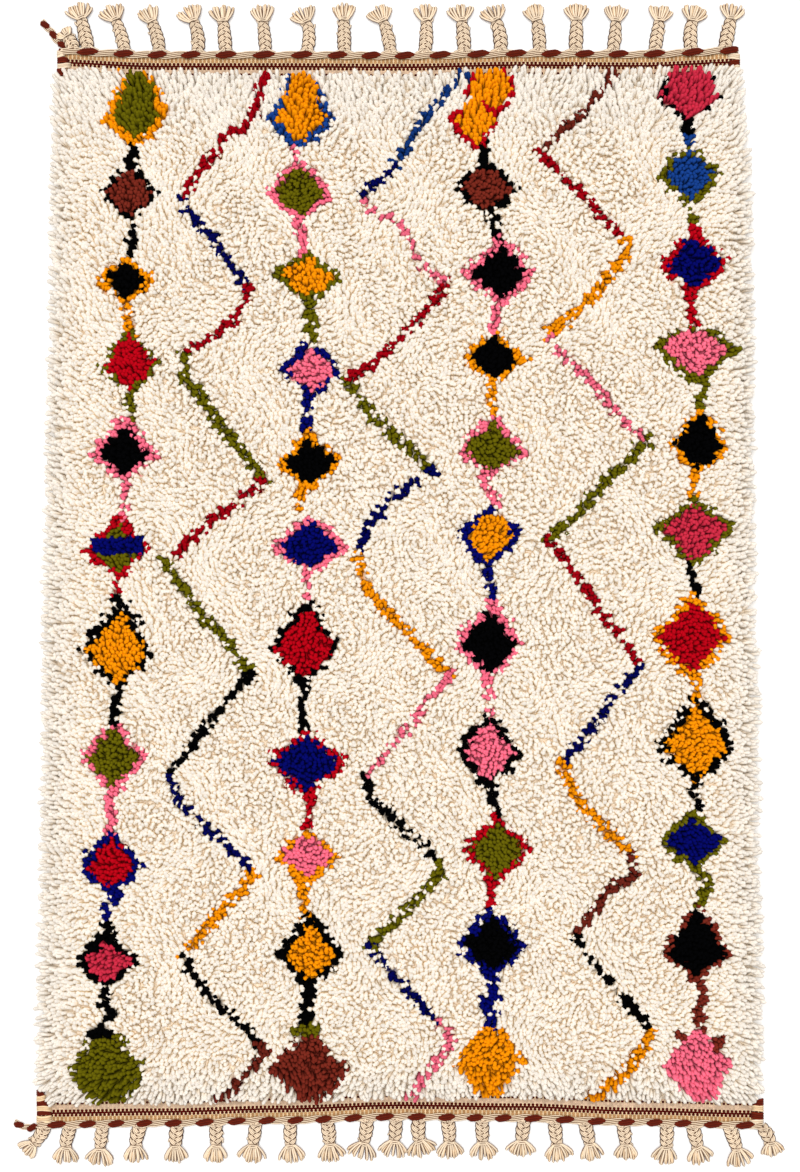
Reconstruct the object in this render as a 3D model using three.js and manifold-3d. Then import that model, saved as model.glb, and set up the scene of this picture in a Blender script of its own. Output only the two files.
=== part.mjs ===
// A hand-knotted wool rug: a shaggy pile field, a flat-woven band at each end, and beyond each band
// a twined end cord from which the warp ends run out as braids with loose brush tips.
// It lies face up on the floor. X runs across the rug, Y along it and Z up, in millimetres.
// The origin is on the floor, under the middle of the rug.
import * as THREE from "three";
import { mergeVertices } from "three/addons/utils/BufferGeometryUtils.js";
import Module from "manifold-3d";

const wasm = await Module();
wasm.setup();

// Overall sizes: the pile's nominal width, and the length between the two end cords
const RUG_WIDTH = 1000;
const RUG_LENGTH = 1500;
const PIECE_GAP = 0.3;

// The pile field, with the ground weave that its knots are tied into
const GROUND_TOP = 5;
const BULGE_HEIGHT = 13;
const PILE_HEIGHT = 23;
const SHOULDER_DROP = 5;
const LUMP_HEIGHT = 2.2;
const LUMP_LENGTH = 31;
const CELLS_ACROSS = 24;
const CELLS_ALONG = 34;
const RIM_WAVE = 2;
const RIM_LEVELS = [
  { height: 0, draw_in: 16 },
  { height: GROUND_TOP, draw_in: 16 },
  { height: BULGE_HEIGHT, draw_in: 9 },
  { height: PILE_HEIGHT, draw_in: 15 },
];

// Locks of pile that hang over the rim
const LOCK_PITCH = 36;
const LOCK_ROOT_DEPTH = 15;
const LOCK_ROOT_HEIGHT = 15.5;
const LOCK_TIP_HEIGHT = 9.5;
const LOCK_HALF_WIDTH = 9;
const LOCK_HALF_HEIGHT = 3.4;
const LOCK_TAPER = 0.5;
const LOCK_LEAN = 7;
const LOCK_UNEVEN = 3;

// The flat-woven end bands
const BAND_THICKNESS = 4;
const BAND_CELLS = 2 * CELLS_ACROSS;

// The twined end cords
const CORD_HALF_WIDTH = 5.5;
const CORD_HEIGHT = 10;
const CORD_SIDES = 6;
const PLY_STEPS = 2;
const PLY_DEPTH = 0.16;

// The braids and their brush tips
const BRAID_HALF_WIDTH = 9.5;
const BRAID_HEIGHT = 13;
const BRAID_STEPS = 5;
const BRAID_SHARE = 0.7;
const PLAIT_RIDGE = 0.16;
const ROOT_TAPER = 0.75;
const NECK_TAPER = 0.62;
const BRUSH_ANGLES = [-0.55, 0.55];
const BRUSH_ROOT = { half_width: 4.5, height: 8 };
const BRUSH_TIP = { half_width: 5.5, height: 4 };
const BRUSH_OVERLAP = 3;

// The loose ends of the cords at the corners
const TAIL_STEPS = 6;
const TAIL_HALF_WIDTH = 3.6;
const TAIL_HEIGHT = 6.5;
const TAIL_RIDGE = 0.25;

// How far each long edge is drawn in from the nominal width, in even steps from the bottom end up
const SIDE_ROWS = [
  { left: -7, right: -7 },
  { left: -6.5, right: -6 },
  { left: -2, right: -1 },
  { left: 0, right: 0 },
  { left: 1.5, right: 3 },
  { left: 6, right: 6 },
  { left: 10, right: 6 },
  { left: 12.5, right: 9.5 },
  { left: 17, right: 22 },
];

// How far each end cord is drawn in from the nominal length, in even steps from left to right
const END_ROWS = [
  { top: 1, bottom: -6 },
  { top: 7, bottom: -4 },
  { top: 7, bottom: 0 },
  { top: 8, bottom: 5 },
  { top: 5, bottom: 3 },
  { top: 6, bottom: -3 },
  { top: 0, bottom: -7 },
];

// The braids: where each leaves its cord, how far its tip stands to the right of that, how far it
// bows to the right on the way, and how far it reaches from the cord's middle
const TOP_BRAIDS = [
  { at: -437, lean: -15, bow: 0, reach: 71 },
  { at: -386, lean: -20, bow: 2, reach: 72 },
  { at: -337, lean: -17, bow: 2, reach: 71 },
  { at: -284, lean: -10, bow: 4, reach: 72 },
  { at: -244, lean: -6, bow: 0, reach: 72 },
  { at: -188, lean: -6, bow: 0, reach: 72 },
  { at: -132, lean: -1, bow: 5, reach: 70 },
  { at: -78, lean: -1, bow: 0, reach: 75 },
  { at: -13, lean: -17, bow: 2, reach: 73 },
  { at: 34, lean: 3, bow: 2, reach: 74 },
  { at: 90, lean: -6, bow: 1, reach: 72 },
  { at: 141, lean: -11, bow: 3, reach: 71 },
  { at: 195, lean: -6, bow: 2, reach: 71 },
  { at: 246, lean: 3, bow: 0, reach: 72 },
  { at: 298, lean: 7, bow: 1, reach: 71 },
  { at: 357, lean: 10, bow: 0, reach: 71 },
  { at: 409, lean: 3, bow: -3, reach: 68 },
  { at: 455, lean: 14, bow: 0, reach: 68 },
];
const BOTTOM_BRAIDS = [
  { at: -497, lean: -32, bow: 2, reach: 48 },
  { at: -461, lean: -13, bow: -2, reach: 58 },
  { at: -416, lean: -7, bow: -1, reach: 62 },
  { at: -363, lean: -13, bow: -2, reach: 57 },
  { at: -312, lean: -4, bow: -1, reach: 58 },
  { at: -258, lean: 0, bow: 0, reach: 59 },
  { at: -202, lean: -7, bow: 0, reach: 61 },
  { at: -153, lean: 0, bow: -1, reach: 62 },
  { at: -102, lean: 7, bow: 0, reach: 62 },
  { at: -46, lean: -9, bow: 1, reach: 63 },
  { at: -6, lean: -4, bow: 1, reach: 60 },
  { at: 27, lean: 2, bow: -2, reach: 59 },
  { at: 66, lean: 6, bow: 1, reach: 61 },
  { at: 115, lean: 1, bow: 0, reach: 61 },
  { at: 175, lean: -8, bow: -1, reach: 57 },
  { at: 216, lean: 8, bow: 0, reach: 63 },
  { at: 259, lean: 13, bow: 0, reach: 58 },
  { at: 312, lean: 7, bow: 1, reach: 56 },
  { at: 374, lean: -3, bow: 1, reach: 60 },
  { at: 410, lean: 14, bow: 0, reach: 59 },
  { at: 461, lean: 20, bow: 1, reach: 61 },
  { at: 507, lean: 22, bow: 2, reach: 45 },
];

// The two ends of the rug. way is the outward direction along Y. The pile's last row of knots is
// pile_edge from the cord's middle, and its locks reach lock_reach past that. The cord runs from
// cord_from to cord_to, its plies cross it every ply_pitch, and tails are its loose ends.
const ENDS = {
  top: {
    way: 1,
    pile_edge: 29,
    lock_reach: 13,
    cord_from: -478,
    cord_to: 474,
    ply_pitch: 25,
    braids: TOP_BRAIDS,
    tails: [{ at: -474, aside: -29, out: 40 }],
  },
  bottom: {
    way: -1,
    pile_edge: 33,
    lock_reach: 8,
    cord_from: -507,
    cord_to: 510,
    ply_pitch: 21,
    braids: BOTTOM_BRAIDS,
    tails: [{ at: -503, aside: -39, out: -1 }],
  },
};

const PILE_WOOL = new THREE.MeshStandardMaterial({ color: 0xf1e8d8, roughness: 0.95, metalness: 0 });
const BAND_WOOL = new THREE.MeshStandardMaterial({ color: 0xb98d6c, roughness: 0.95, metalness: 0 });
const WARP_WOOL = new THREE.MeshStandardMaterial({ color: 0xd9c4a4, roughness: 0.95, metalness: 0 });

// A column of a table with evenly spaced rows, eased between the two rows on either side of a share.
function readRows(rows, column, share) {
  const place = THREE.MathUtils.clamp(share, 0, 1) * (rows.length - 1);
  const row = Math.min(Math.floor(place), rows.length - 2);
  const part = THREE.MathUtils.smoothstep(place - row, 0, 1);
  return THREE.MathUtils.lerp(rows[row][column], rows[row + 1][column], part);
}

// The X of the pile's reach on the left or right edge, at a place along the rug.
function edgeX(side, y) {
  const column = side < 0 ? "left" : "right";
  return side * (RUG_WIDTH / 2 - readRows(SIDE_ROWS, column, y / RUG_LENGTH + 0.5));
}

// The Y of an end cord's middle, at a place across the rug.
function cordY(name, x) {
  const drawnIn = readRows(END_ROWS, name, x / RUG_WIDTH + 0.5);
  return ENDS[name].way * (RUG_LENGTH / 2 - drawnIn);
}

// The Y of the last row of knots at an end.
function pileEndY(name, x) {
  return cordY(name, x) - ENDS[name].way * ENDS[name].pile_edge;
}

// The ground's corner points along an end, and straight lines between them, at a share of its width.
function groundEnd(name, share) {
  const corner = (column) => {
    const across = column / CELLS_ACROSS;
    const y = pileEndY(name, (across - 0.5) * RUG_WIDTH);
    const leftX = edgeX(-1, y) + RIM_LEVELS[0].draw_in;
    const rightX = edgeX(1, y) - RIM_LEVELS[0].draw_in;
    return new THREE.Vector2(THREE.MathUtils.lerp(leftX, rightX, across), y);
  };
  const place = share * CELLS_ACROSS;
  const column = Math.min(Math.floor(place), CELLS_ACROSS - 1);
  return corner(column).lerp(corner(column + 1), place - column);
}

// A repeatable number from -1 to 1 for a place in a row and column.
function uneven(row, column) {
  const wave = Math.sin(row * 12.9898 + column * 78.233) * 43758.5453;
  return 2 * (wave - Math.floor(wave)) - 1;
}

// Moves every vertex of a geometry to where place says.
function reshape(geometry, place) {
  const positions = geometry.getAttribute("position");
  const point = new THREE.Vector3();
  for (let i = 0; i < positions.count; i += 1) {
    point.fromBufferAttribute(positions, i);
    const { x, y, z } = place(point);
    positions.setXYZ(i, x, y, z);
  }
  return geometry;
}

// A closed geometry as a solid that can be joined to others.
function solidOf(geometry) {
  geometry.deleteAttribute("normal");
  geometry.deleteAttribute("uv");
  const merged = mergeVertices(geometry, 1e-3);
  const vertProperties = merged.getAttribute("position").array;
  const triVerts = new Uint32Array(merged.getIndex().array);
  return new wasm.Manifold(new wasm.Mesh({ numProp: 3, vertProperties, triVerts }));
}

// Several solids joined into one named mesh.
function joinedMesh(name, solids, material) {
  const joined = solids.reduce((whole, solid) => whole.add(solid)).getMesh();
  const geometry = new THREE.BufferGeometry();
  geometry.setAttribute("position", new THREE.BufferAttribute(joined.vertProperties, joined.numProp));
  geometry.setIndex(new THREE.BufferAttribute(joined.triVerts, 1));
  geometry.computeVertexNormals();
  const mesh = new THREE.Mesh(geometry, material);
  mesh.name = name;
  return mesh;
}

// A strand of 3 or 4 sides. route gives its middle and heading at a share of its length, and section
// its half width, base and height there, on its left (-1), middle (0) or right (1).
function strand(sides, steps, route, section) {
  const start = sides === 4 ? Math.PI / 4 : 0;
  const tube = new THREE.CylinderGeometry(1, 1, 1, sides, steps, false, start);
  reshape(tube, (point) => {
    const share = point.y + 0.5;
    const side = Math.abs(point.x) < 1e-6 ? 0 : Math.sign(point.x);
    const level = Math.abs(point.z) < 1e-6 ? 0.5 : Number(point.z > 0);
    const { middle, heading } = route(share);
    const { halfWidth, base, height } = section(share, side);
    return {
      x: middle.x + heading.y * side * halfWidth,
      y: middle.y - heading.x * side * halfWidth,
      z: base + level * height,
    };
  });
  return solidOf(tube);
}

// A route on the floor from one point to another that bows to the right of the rug on its way.
function bowedRoute(from, to, bow) {
  const middle = new THREE.Vector2().addVectors(from, to).multiplyScalar(0.5);
  middle.x += 2 * bow;
  const curve = new THREE.QuadraticBezierCurve(from, middle, to);
  return (share) => ({ middle: curve.getPoint(share), heading: curve.getTangent(share) });
}

// The pile and its ground weave: a lumpy slab with a flat underside and a rounded, wavy rim.
function pileSlab() {
  const topLevel = RIM_LEVELS.length - 1;
  const box = new THREE.BoxGeometry(1, 1, 1, CELLS_ACROSS, CELLS_ALONG, topLevel);
  reshape(box, (point) => {
    const column = Math.round((point.x + 0.5) * CELLS_ACROSS);
    const row = Math.round((point.y + 0.5) * CELLS_ALONG);
    const level = Math.round((point.z + 0.5) * topLevel);
    const { height, draw_in } = RIM_LEVELS[level];
    const onRim = column % CELLS_ACROSS === 0 || row % CELLS_ALONG === 0;
    const wave = onRim && level > 1 ? RIM_WAVE * uneven(row, column) : 0;
    const atX = point.x * RUG_WIDTH;
    const bulge = RIM_LEVELS[0].draw_in - draw_in;
    const bottomY = pileEndY("bottom", atX) - bulge - wave;
    const topY = pileEndY("top", atX) + bulge + wave;
    const y = THREE.MathUtils.lerp(bottomY, topY, point.y + 0.5);
    const leftX = edgeX(-1, y) + draw_in - wave;
    const rightX = edgeX(1, y) - draw_in + wave;
    const x = THREE.MathUtils.lerp(leftX, rightX, point.x + 0.5);
    const swell = Math.sin(x / LUMP_LENGTH + Math.sin(y / LUMP_LENGTH)) * Math.cos(y / LUMP_LENGTH);
    const lump = (LUMP_HEIGHT * (swell + uneven(column, row))) / 2;
    const drop = onRim ? SHOULDER_DROP : 0;
    const z = level === topLevel ? height + lump - drop : height;
    return { x, y, z };
  });
  return solidOf(box);
}

// One lock of pile that leaves the rim at a point, in an outward direction.
function rimLock(edge, outward, number, reach) {
  const along = new THREE.Vector2(outward.y, -outward.x);
  const lean = LOCK_LEAN * uneven(number, 3);
  const length = reach + LOCK_UNEVEN * uneven(number, 5);
  const from = edge.clone().addScaledVector(outward, -LOCK_ROOT_DEPTH);
  const to = edge.clone().addScaledVector(outward, length).addScaledVector(along, lean);
  const section = (share) => {
    const size = THREE.MathUtils.lerp(1, LOCK_TAPER, share * share);
    const middle = THREE.MathUtils.lerp(LOCK_ROOT_HEIGHT, LOCK_TIP_HEIGHT, share);
    return {
      halfWidth: LOCK_HALF_WIDTH * size,
      base: middle - LOCK_HALF_HEIGHT * size,
      height: 2 * LOCK_HALF_HEIGHT * size,
    };
  };
  return strand(4, 1, bowedRoute(from, to, 0), section);
}

// The locks along both long edges and both ends, spaced evenly from corner to corner.
function rimLocks() {
  const locks = [];
  const sideReach = RIM_LEVELS[0].draw_in - LOCK_UNEVEN;
  const sideLength = pileEndY("top", 0) - pileEndY("bottom", 0);
  const sideCount = Math.floor(sideLength / LOCK_PITCH);
  for (const side of [-1, 1]) {
    for (let i = 0; i < sideCount; i += 1) {
      const y = pileEndY("bottom", 0) + (sideLength * (i + 0.5)) / sideCount;
      const edge = new THREE.Vector2(edgeX(side, y) - side * RIM_LEVELS[0].draw_in, y);
      locks.push(rimLock(edge, new THREE.Vector2(side, 0), locks.length, sideReach));
    }
  }
  const endCount = Math.floor(RUG_WIDTH / LOCK_PITCH) - 1;
  for (const [name, end] of Object.entries(ENDS)) {
    for (let i = 0; i < endCount; i += 1) {
      const x = (i + 0.5 - endCount / 2) * LOCK_PITCH;
      const edge = new THREE.Vector2(x, pileEndY(name, x));
      locks.push(rimLock(edge, new THREE.Vector2(0, end.way), locks.length, end.lock_reach));
    }
  }
  return locks;
}

// The flat-woven band between an end cord and the pile.
function endBand(name) {
  const { way, cord_from, cord_to } = ENDS[name];
  const outer = CORD_HALF_WIDTH * (1 + PLY_DEPTH) + PIECE_GAP;
  const box = new THREE.BoxGeometry(1, 1, 1, BAND_CELLS + 2, 1, 1);
  reshape(box, (point) => {
    const cell = Math.round((point.x + 0.5) * (BAND_CELLS + 2)) - 1;
    const ground = groundEnd(name, THREE.MathUtils.clamp(cell / BAND_CELLS, 0, 1));
    if (cell < 0) {
      ground.x = cord_from;
    } else if (cell > BAND_CELLS) {
      ground.x = cord_to;
    }
    const outerY = cordY(name, ground.x) - way * outer;
    const y = point.y * way > 0 ? outerY : ground.y + way * PIECE_GAP;
    return { x: ground.x, y, z: (point.z + 0.5) * BAND_THICKNESS };
  });
  return joinedMesh(`end_band_${name}`, [solidOf(box)], BAND_WOOL);
}

// The twined cord: two plies that pass over each other, flat where it lies on the floor.
function twinedCord(name) {
  const { cord_from, cord_to, ply_pitch } = ENDS[name];
  const length = cord_to - cord_from;
  const steps = Math.round((length / ply_pitch) * PLY_STEPS);
  const start = Math.PI / CORD_SIDES;
  const tube = new THREE.CylinderGeometry(1, 1, 1, CORD_SIDES, steps, false, start);
  const lowest = -Math.cos(start);
  reshape(tube, (point) => {
    const x = cord_from + (point.y + 0.5) * length;
    const turn = Math.atan2(point.x, point.z);
    const twist = 2 * Math.PI * ((x - cord_from) / ply_pitch);
    const swell = 1 + PLY_DEPTH * Math.cos(2 * turn - twist);
    const across = point.x * CORD_HALF_WIDTH * swell;
    const rise = (point.z / -lowest + 1) / 2;
    const z = point.z < lowest / 2 ? 0 : rise * CORD_HEIGHT * swell;
    return { x, y: cordY(name, x) - across, z };
  });
  return solidOf(tube);
}

// One braid with its brush of loose ends: the plait runs on into the brush's middle lock.
function braid(name, { at, lean, bow, reach }) {
  const { way } = ENDS[name];
  const root = new THREE.Vector2(at, cordY(name, at));
  const neck = new THREE.Vector2(at + lean * BRAID_SHARE, root.y + way * reach * BRAID_SHARE);
  const plaitRoute = bowedRoute(root, neck, bow);
  const { heading } = plaitRoute(1);
  const brushLength = reach * (1 - BRAID_SHARE);
  const lastStep = BRAID_STEPS + 1;
  const route = (share) => {
    const step = Math.round(share * lastStep);
    if (step < lastStep) {
      return plaitRoute(step / BRAID_STEPS);
    }
    return { middle: neck.clone().addScaledVector(heading, brushLength), heading };
  };
  const section = (share, side) => {
    const step = Math.round(share * lastStep);
    if (step === lastStep) {
      return { halfWidth: BRUSH_TIP.half_width, base: 0, height: BRUSH_TIP.height };
    }
    const part = step / BRAID_STEPS;
    const ridge = 1 + PLAIT_RIDGE * side * (step % 2 === 0 ? 1 : -1);
    const rootSize = THREE.MathUtils.lerp(ROOT_TAPER, 1, Math.min(1, part * 2));
    const size = ridge * rootSize * THREE.MathUtils.lerp(1, NECK_TAPER, part ** 4);
    return { halfWidth: BRAID_HALF_WIDTH * size, base: 0, height: BRAID_HEIGHT * size };
  };
  const solids = [strand(4, lastStep, route, section)];
  const brushRoot = neck.clone().addScaledVector(heading, -BRUSH_OVERLAP);
  for (const angle of BRUSH_ANGLES) {
    const ahead = heading.clone().rotateAround(new THREE.Vector2(), angle);
    const tip = brushRoot.clone().addScaledVector(ahead, brushLength + BRUSH_OVERLAP / 2);
    const lockSection = (share) => ({
      halfWidth: THREE.MathUtils.lerp(BRUSH_ROOT.half_width, BRUSH_TIP.half_width, share),
      base: 0,
      height: THREE.MathUtils.lerp(BRUSH_ROOT.height, BRUSH_TIP.height, share),
    });
    solids.push(strand(3, 1, bowedRoute(brushRoot, tip, 0), lockSection));
  }
  return solids;
}

// The loose end of a cord at a corner, twisted as the cord is.
function cordTail(name, { at, aside, out }) {
  const root = new THREE.Vector2(at, cordY(name, at));
  const tip = new THREE.Vector2(at + aside, root.y + out);
  const section = (share, side) => {
    const ridge = side * (Math.round(share * TAIL_STEPS) % 2 === 0 ? 1 : -1);
    const size = 1 + TAIL_RIDGE * ridge;
    return { halfWidth: TAIL_HALF_WIDTH * size, base: 0, height: TAIL_HEIGHT * size };
  };
  return strand(4, TAIL_STEPS, bowedRoute(root, tip, 0), section);
}

// A twined cord with the braids and tails that leave it.
function braidedFringe(name) {
  const { braids, tails } = ENDS[name];
  const solids = [
    twinedCord(name),
    ...braids.flatMap((row) => braid(name, row)),
    ...tails.map((row) => cordTail(name, row)),
  ];
  return joinedMesh(`braided_fringe_${name}`, solids, WARP_WOOL);
}

const rug = new THREE.Group();
rug.name = "rug";
rug.add(joinedMesh("pile_field", [pileSlab(), ...rimLocks()], PILE_WOOL));
for (const name of Object.keys(ENDS)) {
  rug.add(endBand(name), braidedFringe(name));
}

export default rug;
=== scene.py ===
"""A shaggy hand-knotted wool rug: its ground weave, knotted pile, flat-woven end bands, twined end
cords and braided fringes, laid out on a pale floor and seen from straight above.

The tables are in millimetres and everything that is made from them is in metres. X runs across the
rug, Y along it to the end with the longer fringe, and Z up out of the pile."""
import math

import bpy
import numpy as np
from bpy.props import FloatProperty, FloatVectorProperty, PointerProperty
from bpy.types import NodeSocket, Operator, Panel, PropertyGroup, Scene
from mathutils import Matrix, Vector


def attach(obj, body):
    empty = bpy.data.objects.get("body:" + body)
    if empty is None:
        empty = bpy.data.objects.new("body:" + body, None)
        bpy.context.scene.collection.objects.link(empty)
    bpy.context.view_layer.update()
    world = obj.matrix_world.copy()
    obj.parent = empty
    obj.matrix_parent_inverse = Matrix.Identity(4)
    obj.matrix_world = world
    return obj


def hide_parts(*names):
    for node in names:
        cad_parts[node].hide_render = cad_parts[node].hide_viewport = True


bl_info = {
    "name": "Knotted Wool Rug",
    "version": (1, 0, 0),
    "blender": (4, 5, 0),
    "location": "3D View > Sidebar > Rug",
    "description": "Knots the pile, weaves the bands and braids the fringes of a shaggy wool rug",
    "category": "Object",
}

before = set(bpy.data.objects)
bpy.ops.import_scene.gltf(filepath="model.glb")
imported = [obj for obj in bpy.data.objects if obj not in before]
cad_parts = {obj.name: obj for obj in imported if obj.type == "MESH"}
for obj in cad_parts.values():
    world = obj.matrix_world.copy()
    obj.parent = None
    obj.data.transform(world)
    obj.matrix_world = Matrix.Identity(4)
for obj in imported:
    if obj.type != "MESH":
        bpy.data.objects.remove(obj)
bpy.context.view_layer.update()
BODY = "root"
MM = 0.001
UP = np.array([0.0, 0.0, 1.0])

# The rug's nominal width, and its length from end cord to end cord
RUG_WIDTH = 1000 * MM
RUG_LENGTH = 1500 * MM
# How wide the rim is in which the feet of the tufts are packed ever less
LOOSE_RIM = 22 * MM

# How far each long edge of the pile is drawn in, in even steps from the bottom end up
SIDE_ROWS = {
    -1: (-7, -6.5, -2, 0, 1.5, 6, 10, 11.5, 13),
    1: (-7, -6, -1, 0, 3, 6, 6, 9.5, 22),
}

# How far each end cord is drawn in, in even steps from left to right
END_ROWS = {
    "top": (1, 7, 7, 8, 5, 6, 0),
    "bottom": (-6, -4, 0, 5, 3, -3, -7),
}

# How near the tips of the pile come to each end cord's middle, in even steps from left to right
TIP_ROWS = {
    "top": (27, 23, 27, 25, 20, 16, 20),
    "bottom": (31, 30, 28, 27, 32, 34, 34),
}

# The two ends. way is the outward direction along Y. The last row of knots is pile_edge from the
# cord's middle. The cord runs between its two ends, and its strands start at an angle and make a full
# turn every lay. Each braid is plaited for a share of its reach, and its brush fans out to an angle on
# either side.
ENDS = {
    "top": {
        "way": 1, "pile_edge": 29, "cord": (-478, 474), "start": 0.0, "lay": 50,
        "plaited": 0.71, "fan": 0.55,
    },
    "bottom": {
        "way": -1, "pile_edge": 33, "cord": (-507, 507), "start": -1.1, "lay": 42,
        "plaited": 0.62, "fan": 0.62,
    },
}

# The braids: where each leaves its cord, how far its tip stands to the right of that, how far it
# bows to the right on the way, and how far it reaches from the cord's middle
BRAIDS = {
    "top": (
        (-457, -17, 1, 34),
        (-437, -15, 0, 71),
        (-386, -20, 2, 72),
        (-337, -17, 2, 71),
        (-284, -10, 4, 72),
        (-244, -6, 0, 72),
        (-188, -6, 0, 72),
        (-132, -1, 5, 70),
        (-78, -1, 0, 75),
        (-13, -17, 2, 73),
        (34, 3, 2, 74),
        (90, -6, 1, 72),
        (141, -11, 3, 71),
        (195, -6, 2, 71),
        (246, 3, 0, 72),
        (298, 7, 1, 71),
        (357, 10, 0, 71),
        (409, 3, -3, 68),
        (455, 14, 0, 68),
    ),
    "bottom": (
        (-497, -32, 2, 48),
        (-461, -13, -2, 58),
        (-416, -7, -1, 62),
        (-363, -13, -2, 57),
        (-312, -4, -1, 58),
        (-258, 0, 0, 59),
        (-202, -7, 0, 61),
        (-153, 0, -1, 62),
        (-102, 7, 0, 62),
        (-46, -9, 1, 63),
        (-6, -4, 1, 60),
        (27, 2, -2, 59),
        (66, 6, 1, 61),
        (115, 1, 0, 61),
        (175, -8, -1, 57),
        (216, 8, 0, 63),
        (259, 13, 0, 58),
        (312, 7, 1, 56),
        (374, -3, 1, 60),
        (410, 14, 0, 59),
        (461, 20, 1, 61),
        (507, 22, 2, 45),
    ),
}

# The loose end of each cord: the points that it passes, across the rug and outward from its cord
TAILS = {
    "top": ((-455, 3), (-470, 7), (-481, 14), (-488, 26), (-503, 42)),
    "bottom": ((-497, 0), (-510, 3), (-520, 6), (-529, 3), (-541, -2)),
}

# The turns of weft round the corner warps of the bands, by end and side: where each begins and ends
# from the cord's middle inward, how far in it reaches, and its wool
TURNS = {
    ("top", -1): (
        (-2, 8.5, 9, "warp"),
        (9, 17, 14, "umber"),
        (17, 24, 18, "warp"),
        (24, 35, 8, "umber"),
    ),
    ("top", 1): (
        (4, 12.5, 16, "warp"),
        (13, 21, 14, "umber"),
        (21, 28, 9, "warp"),
    ),
    ("bottom", -1): (
        (2, 12, 20, "tan"),
        (12.5, 18, 20, "umber"),
        (18, 25.5, 20, "tan"),
        (25.5, 32.5, 16, "umber"),
        (32.5, 40, 12, "tan"),
        (40, 48, 10, "umber"),
    ),
    ("bottom", 1): (
        (-1, 7.5, 18, "warp"),
        (8, 18, 16, "umber"),
        (19, 27.5, 15, "tan"),
        (27.5, 37, 14, "umber"),
    ),
}

# The picks of each end band from the cord inward: how far the pick's inner edge is from the cord's
# middle, its wool, and which ribs it covers with that wool (the rest keep the tan)
PICKS = {
    "top": (
        (4.0, "tan", "all"),
        (7.4, "dun", "odd"),
        (10.8, "dun", "odd"),
        (14.4, "comb", "even"),
        (17.2, "comb", "all"),
        (20.8, "comb", "odd"),
        (22.8, "rose", "all"),
        (25.4, "rose", "all"),
        (29.0, "comb", "odd"),
    ),
    "bottom": (
        (3.6, "tan", "all"),
        (6.8, "dun", "odd"),
        (10.0, "dun", "odd"),
        (13.6, "comb", "even"),
        (16.4, "comb", "all"),
        (20.0, "comb", "odd"),
        (22.8, "rose", "all"),
        (26.8, "rose", "all"),
        (30.0, "comb", "odd"),
        (33.0, "rose", "all"),
    ),
}

# The lozenges, charted in four columns from the top end down: middle, half width, reach up
# and down, the rim's width at the sides, top and foot, and the wools of core and rim
LOZENGES = (
    (-368, 655, 49, 84, 41, 18, 0, 14, "olive", "gold"),
    (-378, 549, 39, 39, 43, 10, 10, 12, "rust", "black"),
    (-382, 427, 43, 29, 36, 14, 8, 11, "black", "gold"),
    (-379, 308, 43, 46, 38, 8, 7, 8, "crimson", "olive"),
    (-386, 185, 48, 48, 45, 15, 14, 14, "black", "pink"),
    (-396, 50, 48, 42, 39, 14, 13, 12, "olive", "crimson"),
    (-393, -90, 53, 70, 52, 11, 24, 10, "gold", "black"),
    (-402, -241, 48, 50, 53, 13, 12, 14, "olive", "pink"),
    (-406, -393, 45, 48, 39, 14, 12, 12, "crimson", "navy"),
    (-410, -528, 41, 56, 42, 10, 28, 16, "raspberry", "black"),
    (-410, -682, 52, 64, 53, 0, 0, 0, "olive", "olive"),
    (-137, 652, 48, 78, 42, 14, 0, 14, "gold", "royal"),
    (-141, 547, 46, 48, 42, 13, 12, 12, "olive", "pink"),
    (-129, 430, 48, 36, 35, 14, 10, 10, "gold", "olive"),
    (-125, 302, 43, 43, 39, 12, 18, 9, "pink", "navy"),
    (-127, 169, 48, 48, 36, 13, 14, 10, "black", "gold"),
    (-126, 53, 55, 42, 38, 15, 11, 10, "navy", "pink"),
    (-132, -87, 50, 63, 53, 9, 14, 12, "crimson", "black"),
    (-132, -248, 55, 48, 49, 13, 12, 12, "navy", "crimson"),
    (-129, -379, 43, 39, 43, 11, 9, 20, "pink", "gold"),
    (-126, -517, 45, 59, 46, 14, 16, 12, "gold", "black"),
    (-125, -679, 53, 53, 48, 0, 0, 0, "rust", "rust"),
    (126, 693, 35, 62, 52, 9, 0, 12, "gold", "crimson"),
    (105, 652, 35, 36, 44, 10, 0, 12, "gold", "crimson"),
    (122, 554, 43, 43, 39, 13, 12, 8, "rust", "black"),
    (140, 433, 50, 53, 42, 14, 16, 12, "black", "pink"),
    (132, 316, 48, 38, 31, 14, 10, 9, "black", "gold"),
    (129, 188, 48, 48, 39, 12, 13, 11, "olive", "pink"),
    (127, 69, 45, 43, 45, 13, 12, 14, "gold", "navy"),
    (125, -83, 50, 63, 50, 14, 16, 13, "black", "pink"),
    (123, -235, 46, 57, 53, 14, 14, 14, "pink", "black"),
    (134, -370, 46, 52, 46, 14, 14, 13, "olive", "crimson"),
    (129, -505, 48, 52, 42, 12, 14, 12, "black", "navy"),
    (125, -668, 48, 53, 53, 0, 0, 0, "gold", "gold"),
    (403, 683, 44, 84, 38, 8, 0, 10, "raspberry", "black"),
    (405, 574, 45, 42, 45, 13, 11, 14, "royal", "olive"),
    (412, 445, 48, 59, 38, 13, 18, 10, "navy", "crimson"),
    (413, 329, 66, 35, 45, 17, 8, 12, "pink", "olive"),
    (419, 195, 43, 53, 43, 10, 12, 11, "black", "gold"),
    (412, 78, 57, 45, 52, 14, 11, 14, "raspberry", "olive"),
    (409, -73, 60, 60, 60, 14, 14, 15, "crimson", "gold"),
    (414, -225, 56, 67, 56, 13, 15, 13, "gold", "black"),
    (410, -357, 49, 42, 42, 13, 11, 12, "navy", "olive"),
    (416, -512, 48, 64, 42, 10, 12, 12, "black", "rust"),
    (419, -672, 48, 50, 56, 0, 0, 0, "pink", "pink"),
)

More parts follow.
